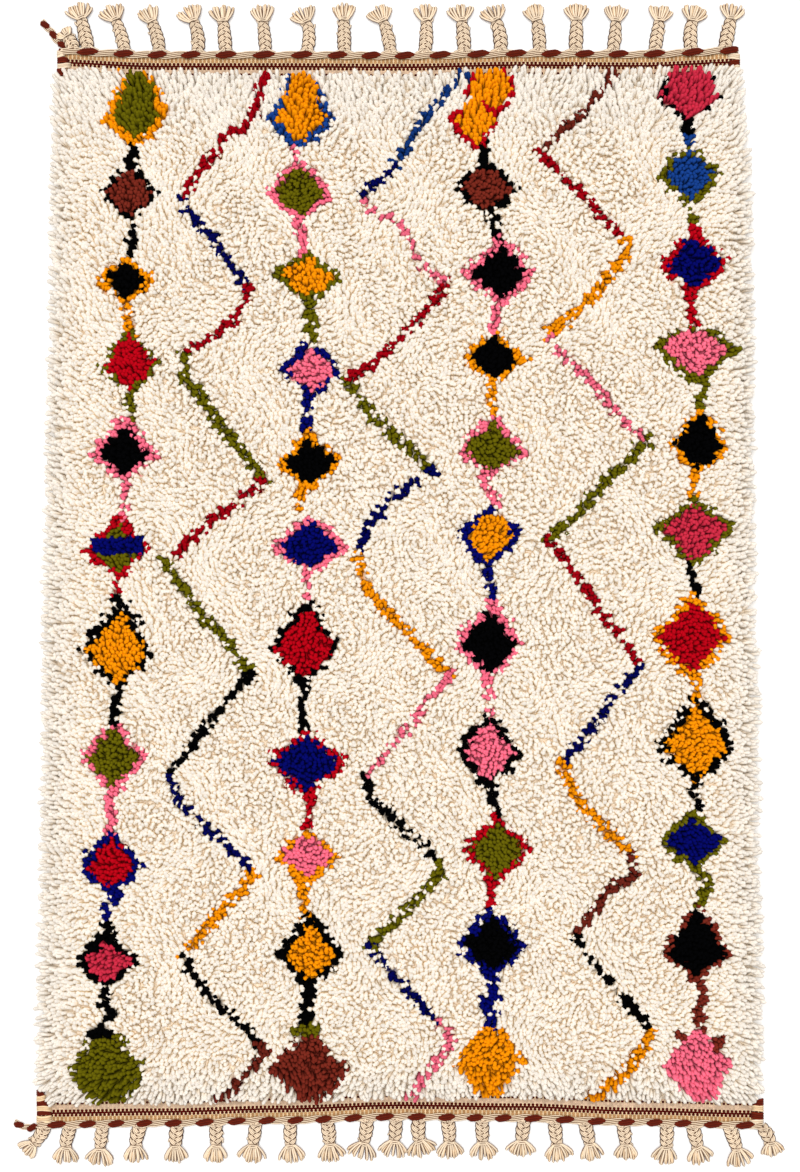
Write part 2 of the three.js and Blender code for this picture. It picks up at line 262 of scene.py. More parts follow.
# The links that join a lozenge to the next one down its column: wool, width and the points passed
LINKS = (
    ("black", 14, ((-375, 615), (-378, 587))),
    ("black", 13, ((-372, 505), (-378, 456))),
    ("gold", 13, ((-382, 393), (-377, 351))),
    ("olive", 11, ((-378, 272), (-374, 232))),
    ("pink", 8, ((-385, 141), (-389, 91))),
    ("crimson", 11, ((-393, 15), (-399, -15))),
    ("black", 13, ((-395, -139), (-398, -192))),
    ("pink", 15, ((-405, -291), (-406, -347))),
    ("navy", 13, ((-396, -431), (-414, -452), (-410, -472))),
    ("black", 13, ((-416, -566), (-416, -582), (-396, -594), (-413, -608), (-426, -626))),
    ("pink", 8, ((-146, 620), (-146, 595))),
    ("pink", 15, ((-141, 508), (-137, 463))),
    ("olive", 17, ((-123, 398), (-119, 346))),
    ("navy", 13, ((-127, 265), (-129, 241))),
    ("navy", 13, ((-129, 232), (-129, 217))),
    ("gold", 13, ((-140, 136), (-140, 120))),
    ("pink", 11, ((-133, 18), (-133, 1))),
    ("black", 13, ((-134, -137), (-136, -200))),
    ("crimson", 13, ((-127, -294), (-130, -340))),
    ("gold", 13, ((-136, -420), (-133, -461))),
    ("black", 20, ((-129, -560), (-132, -613))),
    ("black", 13, ((116, 620), (119, 595))),
    ("black", 13, ((130, 518), (137, 483))),
    ("pink", 13, ((139, 393), (129, 354))),
    ("gold", 11, ((129, 288), (127, 266), (129, 235))),
    ("pink", 14, ((119, 151), (132, 111))),
    ("navy", 13, ((123, 27), (127, -20))),
    ("pink", 13, ((119, -130), (127, -178))),
    ("black", 13, ((129, -286), (134, -318))),
    ("crimson", 13, ((127, -413), (127, -454))),
    ("navy", 18, ((127, -545), (134, -575), (119, -585), (127, -598), (123, -620))),
    ("black", 13, ((402, 651), (402, 627))),
    ("crimson", 13, ((407, 410), (412, 364))),
    ("olive", 13, ((427, 287), (420, 248))),
    ("gold", 13, ((414, 154), (409, 122))),
    ("black", 13, ((407, 28), (414, -13))),
    ("gold", 11, ((412, -132), (414, -161))),
    ("black", 11, ((410, -279), (419, -315))),
    ("olive", 13, ((421, -398), (430, -420), (416, -448))),
    ("rust", 14, ((420, -552), (423, -567))),
    ("rust", 14, ((423, -573), (420, -623))),
)

# Small patches of another wool: wool, middle, half width and half height
PATCHES = (
    ("navy", -396, 55, 36, 11),
    ("black", -395, -18, 8, 6),
    ("black", -420, -626, 17, 6),
    ("royal", 405, 623, 10, 6),
    ("olive", 410, 512, 7, 6),
    ("olive", -130, -622, 21, 8),
    ("rust", 393, -630, 8, 6),
    ("rust", 447, -640, 8, 11),
    ("gold", -139, 108, 7, 4),
    ("pink", -130, -17, 6, 6),
)

# The zigzags' yarns are of other spinnings than the lozenges': how wide a line of knots is in each
# wool, and how much of the lozenges' lightness it keeps, which is painted shade where a thin line of
# knots lies between the taller ivory tufts
ZIGZAG_YARNS = {
    "crimson": (11.5, 0.68),
    "navy": (10.5, 0.6),
    "olive": (13.5, 1.0),
    "black": (10.5, 1.0),
    "gold": (14.5, 0.94),
    "rust": (11, 0.76),
    "royal": (11.5, 0.66),
    "pink": (9, 0.86),
}

# The three zigzags, each from the top end down: a wool, and the points that it runs through on its way
# to the first point of the next wool
ZIGZAGS = (
    (
        ("crimson", (-189, 715), (-211, 643), (-241, 630)),
        ("navy", (-307, 540)),
        ("crimson", (-210, 413), (-232, 371)),
        ("olive", (-302, 322), (-298, 287)),
        ("crimson", (-190, 147), (-253, 97)),
        ("olive", (-325, 34), (-297, -15)),
        ("black", (-206, -122)),
        ("navy", (-325, -262), (-307, -308)),
        ("gold", (-202, -399)),
        ("black", (-302, -515), (-276, -560)),
        ("rust", (-199, -643), (-188, -654), (-251, -722)),
    ),
    (
        ("royal", (88, 715), (42, 661)),
        ("navy", (-11, 584)),
        ("pink", (-56, 540), (10, 498), (24, 455)),
        ("crimson", (66, 419), (11, 353)),
        ("olive", (-76, 281), (-13, 211)),
        ("navy", (46, 160), (1, 133), (-50, 78)),
        ("gold", (-57, 38), (-46, -7)),
        ("pink", (69, -125), (4, -206)),
        ("black", (-49, -269), (-38, -302)),
        ("olive", (55, -385), (56, -402), (4, -461)),
        ("navy", (-43, -505), (4, -559)),
        ("pink", (53, -609), (71, -633), (49, -671), (14, -721)),
    ),
    (
        ("rust", (305, 727), (266, 673)),
        ("crimson", (196, 605), (255, 543)),
        ("gold", (318, 483), (322, 463), (274, 410)),
        ("pink", (207, 346), (246, 304)),
        ("olive", (344, 200), (259, 113)),
        ("crimson", (206, 59), (230, 36), (259, -8)),
        ("navy", (337, -112), (309, -143), (284, -181)),
        ("gold", (224, -248), (255, -312)),
        ("rust", (325, -375), (328, -406), (291, -428)),
        ("black", (244, -494), (297, -561)),
        ("gold", (354, -622), (316, -685), (266, -721)),
    ),
)


def linear(hex_colour):
    """An sRGB hex colour as linear red, green and blue."""
    shares = [int(hex_colour[i : i + 2], 16) / 255 for i in (0, 2, 4)]
    return tuple(s / 12.92 if s <= 0.04045 else ((s + 0.055) / 1.055) ** 2.4 for s in shares)


def length(name, description, millimetres):
    """A length that a user may change."""
    return FloatProperty(name=name, description=description, default=millimetres * MM,
                         min=0, unit="LENGTH", precision=4)


def wool(name, description, hex_colour):
    """A wool colour that a user may change."""
    return FloatVectorProperty(name=name, description=description, default=linear(hex_colour),
                               size=3, min=0, max=1, subtype="COLOR")


class RugSizes(PropertyGroup):
    """The sizes of the rug's yarns and layers."""

    ground_draw_in: length("Ground Draw-in", "From the pile's reach in to the ground's edge", 11)
    ground_thickness: length("Ground Thickness", "Thickness of the ground weave", 4)
    knot_pitch: length("Knot Pitch", "Spacing of the knots, both ways", 5.2)
    tuft_length: length("Tuft Length", "Length of a tuft from its knot to its cut end", 23)
    packed_foot: length("Packed Foot", "Height that the feet of the tufts are packed solid", 10.8)
    tuft_radius: length("Tuft Radius", "Half the thickness of a tuft", 3.65)
    rib_pitch: length("Rib Pitch", "Spacing of the warp ribs in the end bands", 2.85)
    band_thickness: length("Band Thickness", "Thickness of the end bands between their ribs", 3)
    cord_rise: length("Cord Rise", "How far a strand rises and dips in an end cord", 2.0)
    cord_swing: length("Cord Swing", "How far a strand swings aside in an end cord", 1.2)
    cord_breadth: length("Cord Breadth", "Half the breadth of a strand where it lies on top", 4.0)
    cord_yarn: length("Cord Yarn", "Half the thickness of a yarn in the end cords", 0.95)
    braid_swing: length("Braid Swing", "How far a strand swings aside in a braid", 6.1)
    braid_rise: length("Braid Rise", "How far a strand rises and dips in a braid", 2.3)
    warp_yarn: length("Warp Yarn", "Half the thickness of a warp yarn in the fringes", 1.45)


class RugWools(PropertyGroup):
    """The colours of the rug's wools."""

    ivory: wool("Ivory", "Undyed wool of the field", "ECE3D7")
    olive: wool("Olive", "Olive green wool", "625C07")
    gold: wool("Gold", "Golden yellow wool", "EE9005")
    rust: wool("Rust", "Reddish brown wool", "75281C")
    black: wool("Black", "Black wool", "020203")
    crimson: wool("Crimson", "Crimson wool", "B40416")
    royal: wool("Royal Blue", "Lighter blue wool", "163E88")
    navy: wool("Navy", "Dark blue wool", "040862")
    pink: wool("Pink", "Pink wool", "F46E88")
    raspberry: wool("Raspberry", "Raspberry red wool", "C62C44")
    tan: wool("Tan", "Undyed brownish wool of the bands", "F3D5AA")
    rose: wool("Rose Tan", "Pinkish tan wool of the bands", "E2C2A4")
    umber: wool("Umber", "Brown wool of the cords and corners", "6A1D07")
    comb: wool("Comb Brown", "Darkest brown wool, in the comb of the bands", "520D06")
    dun: wool("Dun", "Darker undyed wool between the ribs of the bands", "C0905F")
    # Not a wool of the rug: dark yarns laid where the fringes lie in shade, as painted shade
    shaded: wool("Shaded Warp", "Browned warp wool deep in the fringes", "5E3717")
    warp: wool("Warp", "Undyed warp wool of the fringes", "F3DEC1")


def eased(share):
    """A share from 0 to 1 that starts and ends gently."""
    return share * share * (3 - 2 * share)


def unit(vectors):
    """Vectors scaled to a length of 1."""
    return vectors / np.maximum(np.linalg.norm(vectors, axis=-1, keepdims=True), 1e-9)


def to_right(ahead):
    """The headings a quarter turn to the right of others, seen from above."""
    return np.stack([ahead[:, 1], -ahead[:, 0]], 1)


def way_gone(path):
    """How far along its path each point lies."""
    return np.concatenate([[0], np.cumsum(np.linalg.norm(np.diff(path, axis=0), axis=1))])


def raised(flat, rise):
    """Points from their places across and along the rug, and their heights."""
    return np.concatenate([flat, rise[..., None]], -1)


def read_rows(rows, share):
    """Evenly spaced rows, eased between the two rows on either side of each share."""
    rows = np.array(rows, float) * MM
    place = np.clip(share, 0, 1) * (len(rows) - 1)
    row = np.minimum(place.astype(int), len(rows) - 2)
    part = eased(place - row)
    return rows[row] * (1 - part) + rows[row + 1] * part


def edge_x(side, y):
    """The X that the pile reaches on the left (-1) or right (1), at places along the rug."""
    return side * (RUG_WIDTH / 2 - read_rows(SIDE_ROWS[side], np.asarray(y) / RUG_LENGTH + 0.5))


def cord_y(end, x):
    """The Y of an end cord's middle, at places across the rug."""
    drawn_in = read_rows(END_ROWS[end], np.asarray(x) / RUG_WIDTH + 0.5)
    return ENDS[end]["way"] * (RUG_LENGTH / 2 - drawn_in)


def corner_x(end, side):
    """The X of an end cord's left (-1) or right (1) end, in millimetres."""
    return ENDS[end]["cord"][0 if side < 0 else 1]


def pile_length():
    """The nominal length of the pile, from its first row of knots to its last."""
    return RUG_LENGTH - MM * sum(end["pile_edge"] for end in ENDS.values())


def pile_end_y(end, x):
    """The Y of the last row of knots at an end."""
    return cord_y(end, x) - ENDS[end]["way"] * ENDS[end]["pile_edge"] * MM


def ground_places(sizes, u, v):
    """Points on the ground weave from shares across (u) and along (v) it."""
    guess_x = (u - 0.5) * RUG_WIDTH
    bottom = pile_end_y("bottom", guess_x)
    top = pile_end_y("top", guess_x)
    y = bottom + (top - bottom) * v
    left = edge_x(-1, y) + sizes.ground_draw_in
    right = edge_x(1, y) - sizes.ground_draw_in
    return left + (right - left) * u, y


def packed_foot(sizes, u, v):
    """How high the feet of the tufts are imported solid, at shares across and along: less at the rim."""
    inward = np.minimum(np.minimum(u, 1 - u) * RUG_WIDTH, np.minimum(v, 1 - v) * RUG_LENGTH)
    return sizes.packed_foot * eased(np.clip(inward / LOOSE_RIM, 0, 1))


def make_piece(name, points, faces, colours, material, marks=(), spots=None):
    """A smooth mesh object from arrays. faces are arrays of corners with a row for each face, colours
    has a row for each point or each corner, marks are named shares with a value for each point, and
    spots a place on the map for each corner."""
    mesh = bpy.data.meshes.new(name)
    corners = np.concatenate([face.ravel() for face in faces])
    counts = np.concatenate([np.full(len(face), face.shape[1]) for face in faces])
    mesh.vertices.add(len(points))
    mesh.vertices.foreach_set("co", points.astype(np.float32).ravel())
    mesh.loops.add(len(corners))
    mesh.loops.foreach_set("vertex_index", corners.astype(np.int32))
    mesh.polygons.add(len(counts))
    starts = np.concatenate([[0], np.cumsum(counts)[:-1]])
    mesh.polygons.foreach_set("loop_start", starts.astype(np.int32))
    mesh.polygons.foreach_set("use_smooth", np.ones(len(counts), bool))
    domain = "POINT" if len(colours) == len(points) else "CORNER"
    wool_layer = mesh.attributes.new("wool", "FLOAT_COLOR", domain)
    opaque = np.concatenate([colours, np.ones((len(colours), 1))], axis=1)
    wool_layer.data.foreach_set("color", opaque.astype(np.float32).ravel())
    for mark, shares in dict(marks).items():
        mesh.attributes.new(mark, "FLOAT", "POINT").data.foreach_set("value", shares.astype(np.float32))
    if spots is not None:
        mesh.uv_layers.new(name="OFBake").data.foreach_set("uv", spots.astype(np.float32).ravel())
    mesh.update(calc_edges=True)
    mesh.materials.append(material)
    piece = bpy.data.objects.new(name, mesh)
    bpy.context.collection.objects.link(piece)
    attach(piece, BODY)
    return piece


class Yarns:
    """Lengths of yarn gathered into one mesh, each with a cell of its own on the map. A pointed yarn
    starts inside another piece, so its first end is left open. Each point has two marks that the wool
    materials lay painted shade by: along is how far it is from the yarn's start to its end, and crown is
    1 on top of the yarn and 0 at its sides. A yarn that stands free, with no other beside it, has a
    higher crown all round, and so less painted shade."""

    # Both end caps lie side by side in a low strip of the yarn's cell
    CAP_STRIP = 0.12
    CAP_MIDDLE, CAP_REACH, CAP_PITCH = (0.22, 0.45), (0.2, 0.4), 0.5
    CELL_FILL = 0.9
    # This many yarns or fewer lie in one column of cells
    ONE_COLUMN = 100

    def __init__(self):
        self.points, self.faces, self.colours, self.cells, self.spots = [], [], [], [], []
        self.along, self.crown = [], []
        self.point_count = 0
        self.yarn_count = 0

    def add(self, routes, radii, sides, colours, pointed=False, free=0.0):
        """Adds a round yarn along each route. colours has a row for each route, and free is how far
        each yarn stands free of others, which raises its crown mark and lessens its painted shade."""
        count, steps = routes.shape[:2]
        heading = unit(np.gradient(routes, axis=1))
        side = unit(np.cross(heading, UP))
        up = np.cross(side, heading)
        angle = np.arange(sides)[:, None] * 2 * math.pi / sides
        ring = np.cos(angle) * side[:, :, None] + np.sin(angle) * up[:, :, None]
        tube = routes[:, :, None] + radii[:, :, None, None] * ring
        rings = steps - 1 if pointed else steps
        points = tube[:, :rings].reshape(count, -1, 3)
        along = np.repeat(np.linspace(0, 1, steps)[:rings], sides)
        crown = np.tile(np.clip(np.sin(angle[:, 0]), 0, 1), rings)
        if pointed:
            points = np.concatenate([points, routes[:, -1:]], axis=1)
            along = np.append(along, 1.0)
            crown = np.append(crown, 1.0)
        each = points.shape[1]
        first = self.point_count + np.arange(count)[:, None, None] * each
        for pattern, spot in self.face_patterns(rings, steps, sides, pointed):
            self.faces.append((first + pattern).reshape(-1, pattern.shape[1]))
            self.spots.append(np.broadcast_to(spot, (count, *spot.shape)).reshape(-1, 2))
            self.cells.append(np.repeat(self.yarn_count + np.arange(count), pattern.size))
        self.points.append(points.reshape(-1, 3))
        self.colours.append(np.repeat(colours, each, axis=0))
        self.along.append(np.tile(along, count))
        self.crown.append(np.maximum(crown, np.broadcast_to(free, count)[:, None]).ravel())
        self.point_count += count * each
        self.yarn_count += count

    def face_patterns(self, rings, steps, sides, pointed):
        """The faces of one yarn, and where their corners lie in its cell on the map."""
        low = self.CAP_STRIP
        i, k = np.repeat(np.arange(rings - 1), sides), np.tile(np.arange(sides), rings - 1)
        after = (k + 1) % sides
        ring, next_ring = i * sides, (i + 1) * sides
        quads = np.stack([ring + k, next_ring + k, next_ring + after, ring + after], 1)
        ahead = np.stack([i, i + 1, i + 1, i], 1) / (steps - 1)
        around = low + (1 - low) * np.stack([k, k, k + 1, k + 1], 1) / sides
        patterns = [(quads, np.stack([ahead, around], -1))]
        turn = np.arange(sides) * 2 * math.pi / sides
        circle = np.stack([np.cos(turn), np.sin(turn)], -1)
        cap = ((self.CAP_MIDDLE + self.CAP_REACH * circle) * (1, low))[None]
        last = (rings - 1) * sides
        k = np.arange(sides)
        if pointed:
            tips = np.stack([last + k, np.full(sides, rings * sides), last + (k + 1) % sides], 1)
            ahead = np.broadcast_to(np.array([rings - 1, steps - 1, rings - 1]) / (steps - 1), (sides, 3))
            around = low + (1 - low) * np.stack([k, k + 0.5, k + 1], 1) / sides
            patterns.append((tips, np.stack([ahead, around], -1)))
        else:
            patterns.append((k[None], cap))
            patterns.append(((last + k[::-1])[None], cap[:, ::-1] + (self.CAP_PITCH, 0)))
        return patterns

    def piece(self, name, material, slot):
        """The gathered yarns as one mesh object."""
        columns = math.ceil(math.sqrt(self.yarn_count)) if self.yarn_count > self.ONE_COLUMN else 1
        rows = math.ceil(self.yarn_count / columns)
        cells = np.concatenate(self.cells)
        corner = np.stack([cells % columns, cells // columns], 1)
        inset = (1 - self.CELL_FILL) / 2
        spots = (corner + inset + self.CELL_FILL * np.concatenate(self.spots)) / np.array([columns, rows])
        marks = {"along": np.concatenate(self.along), "crown": np.concatenate(self.crown)}
        return make_piece(name, np.concatenate(self.points), self.faces, np.concatenate(self.colours),
                          material, marks, spots)


def add_node(tree, kind, settings=(), inputs=()):
    """Adds a node, sets its settings, and fills or links each of its inputs."""
    node = tree.nodes.new(kind)
    for key, value in dict(settings).items():
        setattr(node, key, value)
    for key, value in dict(inputs).items():
        if isinstance(value, NodeSocket):
            tree.links.new(value, node.inputs[key])
        else:
            node.inputs[key].default_value = value
    return node


def new_material(name):
    """An empty node material and its output."""
    material = bpy.data.materials.new(name)
    material.use_nodes = True
    material.node_tree.nodes.clear()
    return material, material.node_tree, add_node(material.node_tree, "ShaderNodeOutputMaterial")


# The mix node's colour sockets share their names with others, so they go by number
MIX_FACTOR, MIX_A, MIX_B, MIX_COLOUR = 0, 6, 7, 2
WOOL_IOR = 1.55


def deepened(tree, colour, mark, until, shade):
    """Painted shade on a colour by a mark: darkened where the mark is low, and clear from a share of it
    on.
    """
    place = add_node(tree, "ShaderNodeAttribute", {"attribute_name": mark})
    amount = add_node(tree, "ShaderNodeMapRange", {"interpolation_type": "SMOOTHSTEP"},
                      {"Value": place.outputs["Fac"], "From Max": until, "To Min": 1.0, "To Max": 0.0})
    deep = add_node(tree, "ShaderNodeMix", {"data_type": "RGBA", "blend_type": "MULTIPLY"},
                    {MIX_FACTOR: amount.outputs["Result"], MIX_A: colour, MIX_B: (*linear(shade), 1)})
    return deep.outputs[MIX_COLOUR]


def fibred(tree, output, tone, fibre_size, detail, flecks, relief, shine):
    """Gives wool of a tone its fibres: flecks between two shades, and a relief of a strength and a
    depth. Real fibres are far finer than fibre_size, but it is the finest that shows from the camera.
    shine is what goes on the shader's own sockets."""
    place = add_node(tree, "ShaderNodeTexCoord")
    fibre = add_node(tree, "ShaderNodeTexNoise", {},
                     {"Vector": place.outputs["Object"], "Scale": 1 / fibre_size, "Detail": detail})
    fleck = add_node(tree, "ShaderNodeMapRange", {},
                     {"Value": fibre.outputs["Fac"], "From Min": 0.3, "From Max": 0.7,
                      "To Min": flecks[0], "To Max": flecks[1]})
    spun = add_node(tree, "ShaderNodeMix", {"data_type": "RGBA", "blend_type": "MULTIPLY"},
                    {MIX_FACTOR: 1.0, MIX_A: tone, MIX_B: fleck.outputs["Result"]})
    fuzz = add_node(tree, "ShaderNodeBump", {},
                    {"Height": fibre.outputs["Fac"], "Strength": relief[0], "Distance": relief[1]})
    shader = add_node(tree, "ShaderNodeBsdfPrincipled", {},
                      {"Base Color": spun.outputs[MIX_COLOUR], "IOR": WOOL_IOR,
                       "Normal": fuzz.outputs["Normal"], **shine})
    tree.links.new(shader.outputs["BSDF"], output.inputs["Surface"])


def spun_wool(name, deep_parts, fibre_size, gloss, sheen):
    """Handspun sheep's wool, cut or plaited: matt, with a soft bloom of loose fibres at grazing angles.
    Its colour comes from the yarn, with painted shade where the yarn runs down into its knot and
    along its sides, where the yarns beside it would shade it."""
    material, tree, output = new_material(name)
    tone = add_node(tree, "ShaderNodeAttribute", {"attribute_name": "wool"}).outputs["Color"]
    for mark, until, shade in deep_parts:
        tone = deepened(tree, tone, mark, until, shade)
    shine = {"Roughness": 0.92, "Specular IOR Level": gloss,
             "Sheen Weight": sheen, "Sheen Roughness": 0.6}
    fibred(tree, output, tone, fibre_size, detail=2.0,
           flecks=(0.86, 1.06), relief=(0.35, 0.5 * MM), shine=shine)
    return material


def flat_woven_wool(name):
    """Tightly beaten weft-faced wool: matt, with the fine flecks of spun yarn on every float."""
    material, tree, output = new_material(name)
    tone = add_node(tree, "ShaderNodeAttribute", {"attribute_name": "wool"}).outputs["Color"]
    shine = {"Roughness": 0.9, "Specular IOR Level": 0.05}
    fibred(tree, output, tone, fibre_size=0.9 * MM, detail=3.0,
           flecks=(0.75, 1.12), relief=(0.4, 0.4 * MM), shine=shine)
    return material


def painted_floor(name):
    """Smooth matt white paint: almost even, with a very faint roller mottle."""
    material, tree, output = new_material(name)
    place = add_node(tree, "ShaderNodeTexCoord")
    mottle = add_node(tree, "ShaderNodeTexNoise", {},
                      {"Vector": place.outputs["Object"], "Scale": 1 / (60 * MM), "Detail": 3.0})
    paint = add_node(tree, "ShaderNodeMix", {"data_type": "RGBA"},
                     {MIX_FACTOR: mottle.outputs["Fac"], MIX_A: (*linear("F7F6F4"), 1),
                      MIX_B: (*linear("FBFAF9"), 1)})
    shader = add_node(tree, "ShaderNodeBsdfPrincipled", {},
                      {"Base Color": paint.outputs[MIX_COLOUR], "Roughness": 0.8,
                       "Specular IOR Level": 0.1})
    tree.links.new(shader.outputs["BSDF"], output.inputs["Surface"])
    return material


def grid_faces(columns, rows):
    """Four-cornered faces of a grid of points that runs along its rows, seen from above."""
    i, j = (grid.ravel() for grid in np.meshgrid(np.arange(columns - 1), np.arange(rows - 1)))
    low = j * columns + i
    return np.stack([low, low + 1, low + columns + 1, low + columns], 1)


def slab(upper, columns, rows):
    """The points and faces of a slab that stands on the floor under a grid of points: the grid, the
    walls round it, and the underside."""
    index = np.arange(columns * rows).reshape(rows, columns)
    rim = np.concatenate([index[0, :], index[1:, -1], index[-1, -2::-1], index[-2:0:-1, 0]])
    foot = len(upper) + np.arange(len(rim))
    walls = np.stack([foot, np.roll(foot, -1), np.roll(rim, -1), rim], 1)
    points = np.concatenate([upper, upper[rim] * np.array([1, 1, 0])])
    return points, [grid_faces(columns, rows), walls, foot[None, ::-1]]


class RUG_OT_weave_ground(Operator):
    """Weaves the ground that the knots are tied into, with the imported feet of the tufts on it"""

    bl_idname = "rug.weave_ground"
    bl_label = "Weave Ground"

    COLUMNS = 111
    ROWS = 166
    # The imported feet are uneven in height and tone, and those of dyed tufts are darker than their ends,
    # as painted shade deep in the pile
    UNEVEN = 0.4 * MM
    TONES = (0.85, 1.05)
    FOOT_SHADE = 0.8

    def execute(self, context):
        sizes, wools = context.scene.rug_sizes, context.scene.rug_wools
        u, v = np.meshgrid(np.linspace(0, 1, self.COLUMNS), np.linspace(0, 1, self.ROWS))
        x, y = ground_places(sizes, u, v)
        draw = np.random.default_rng(3)
        top = sizes.ground_thickness + packed_foot(sizes, u, v)
        top = top + self.UNEVEN * draw.uniform(-1, 1, x.shape)
        upper = np.stack([x, y, top], -1).reshape(-1, 3)
        points, faces = slab(upper, self.COLUMNS, self.ROWS)
        names, _ = chart_wools(upper[:, :2] / MM, draw)
        # Painted shade deep in the pile: dyed feet are darkened, and ivory ones toned towards the
        # ground's tan
        feet = np.array([getattr(wools, name) for name in names]) * self.FOOT_SHADE
        feet[names == "ivory"] = (2 * np.array(wools.ivory) + wools.tan) / 3
        colours = np.concatenate([feet, np.tile(wools.tan, (len(points) - len(upper), 1))])
        colours = colours * draw.uniform(*self.TONES, (len(colours), 1))
        material = flat_woven_wool("weft_faced_ground_wool")
        ground = make_piece("ground_weave", points, faces, colours, material)
        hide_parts("pile_field")
        return {"FINISHED"}


def near_line(points, start, finish):
    """How far each point is from a straight line between two points."""
    start, finish = np.array(start, float), np.array(finish, float)
    way = finish - start
    share = np.clip((points - start) @ way / (way @ way), 0, 1)
    return np.linalg.norm(points - start - share[:, None] * way, axis=1)


# The height of a row of knots in the motifs' chart, and of the rows that a zigzag keeps its place for
ROW_HEIGHT = 6.0
ZIGZAG_STEP = 10.0
# How far the tufts of a lozenge's core spread out over its rim
CORE_SPREAD = 2.5
# How full a lozenge's sides are: 1 is straight and 2 is round. Those of a single wool are fuller.
FULL_SIDES, FULL_ALONE = 1.1, 1.22
# How far a whole row of knots is moved, and how far the edge of a line strays in a row and at a knot
ROW_MOVE, ROW_STRAY, KNOT_STRAY = 3, 2.2, 1.8
# How far the edge of a lozenge strays in a row and at a knot, as a share of its size
ROW_RAGGED, KNOT_RAGGED = 0.13, 0.11
# The share of the knots of a line that are missed
MISSED = 0.06


def chart_wools(places, draw):
    """The wool of the tuft at each place, in millimetres, from the motifs' chart, and whether it is
    in a zigzag. Each row of knots begins and ends a little early or late, as a weaver counts it."""
    wool_names = np.full(len(places), "ivory", dtype="<U12")
    in_zigzag = np.zeros(len(places), bool)
    row = np.round((places[:, 1] + RUG_LENGTH / 2 / MM) / ROW_HEIGHT).astype(int)
    rows = row.max() + 1
    moved = draw.uniform(-ROW_MOVE, ROW_MOVE, rows)[row]
    strayed = draw.uniform(-ROW_RAGGED, ROW_RAGGED, (rows, 2))
    unsteady = draw.uniform(-KNOT_STRAY, KNOT_STRAY, len(places))
    unsteady = unsteady + draw.uniform(-ROW_STRAY, ROW_STRAY, rows)[row]
    missed = draw.uniform(0, 1, len(places)) < MISSED
    shifted = places + np.stack([moved, np.zeros(len(places))], 1)
    level = (np.floor(places[:, 1] / ZIGZAG_STEP) + 0.5) * ZIGZAG_STEP
    stepped = np.stack([shifted[:, 0], level], 1)
    for zigzag in ZIGZAGS:
        legs = [(name, point) for name, *points in zigzag for point in points]
        for (name, start), (_, finish) in zip(legs, legs[1:]):
            hit = near_line(stepped, start, finish) + unsteady < ZIGZAG_YARNS[name][0] / 2
            wool_names[hit & ~missed] = name
            in_zigzag |= hit & ~missed
    for name, width, points in LINKS:
        for start, finish in zip(points, points[1:]):
            hit = near_line(shifted, start, finish) + unsteady < width / 2
            wool_names[hit & ~missed] = name
    uneven = draw.uniform(-KNOT_RAGGED, KNOT_RAGGED, len(places))
    for x, y, half, up, down, rim_side, rim_top, rim_foot, core, rim in LOZENGES:
        aside, rise = np.abs(places[:, 0] - x), places[:, 1] - y
        ragged = uneven + strayed[row, (places[:, 0] > x).astype(int)]
        full = FULL_ALONE if core == rim else FULL_SIDES
        reach = np.where(rise > 0, rise / up, -rise / down)
        inside = (aside / half) ** full + reach**full + ragged < 1
        up, down = up - rim_top + CORE_SPREAD, down - rim_foot + CORE_SPREAD
        reach = np.where(rise > 0, rise / up, -rise / down)
        cored = (aside / (half - rim_side + CORE_SPREAD)) ** full + reach**full + ragged < 1
        wool_names[inside] = rim
        wool_names[inside & cored] = core
        in_zigzag &= ~inside
    for name, x, y, half, rise in PATCHES:
        hit = (np.abs(places[:, 0] - x) < half) & (np.abs(places[:, 1] - y) < rise)
        wool_names[hit] = name
    return wool_names, in_zigzag


# Waves in the tufts' lean, each across its own direction: length over 2 pi, and lean in radians
SWIRLS = ((48, 0.22), (34, 0.24), (25, 0.28), (19, 0.28), (15, 0.25), (12, 0.18), (9.5, 0.12))
# A crowded tuft leans at least this far, and at most this far, and gets there this easily
LEAST_LEAN, MOST_LEAN, EASY_LEAN = 0.3, 1.1, 0.8
# How far the tufts lean outward at the long sides and the two ends, and how abruptly that begins
SIDE_LEAN, SIDE_POWER = 0.85, 4
TOP_LEAN, TOP_POWER = 1.25, 6
BOTTOM_LEAN, BOTTOM_POWER = 1.1, 12
# How far they lean to the top end on the left, and how abruptly that fades at the ends
LEFT_LEAN, LEFT_FADE = 0.25, 6
# How abruptly the swirls fade at the sides and ends, and how far a tuft leans its own way
CALM_SIDES, CALM_ENDS = 6, 12
OWN_LEAN = 0.2


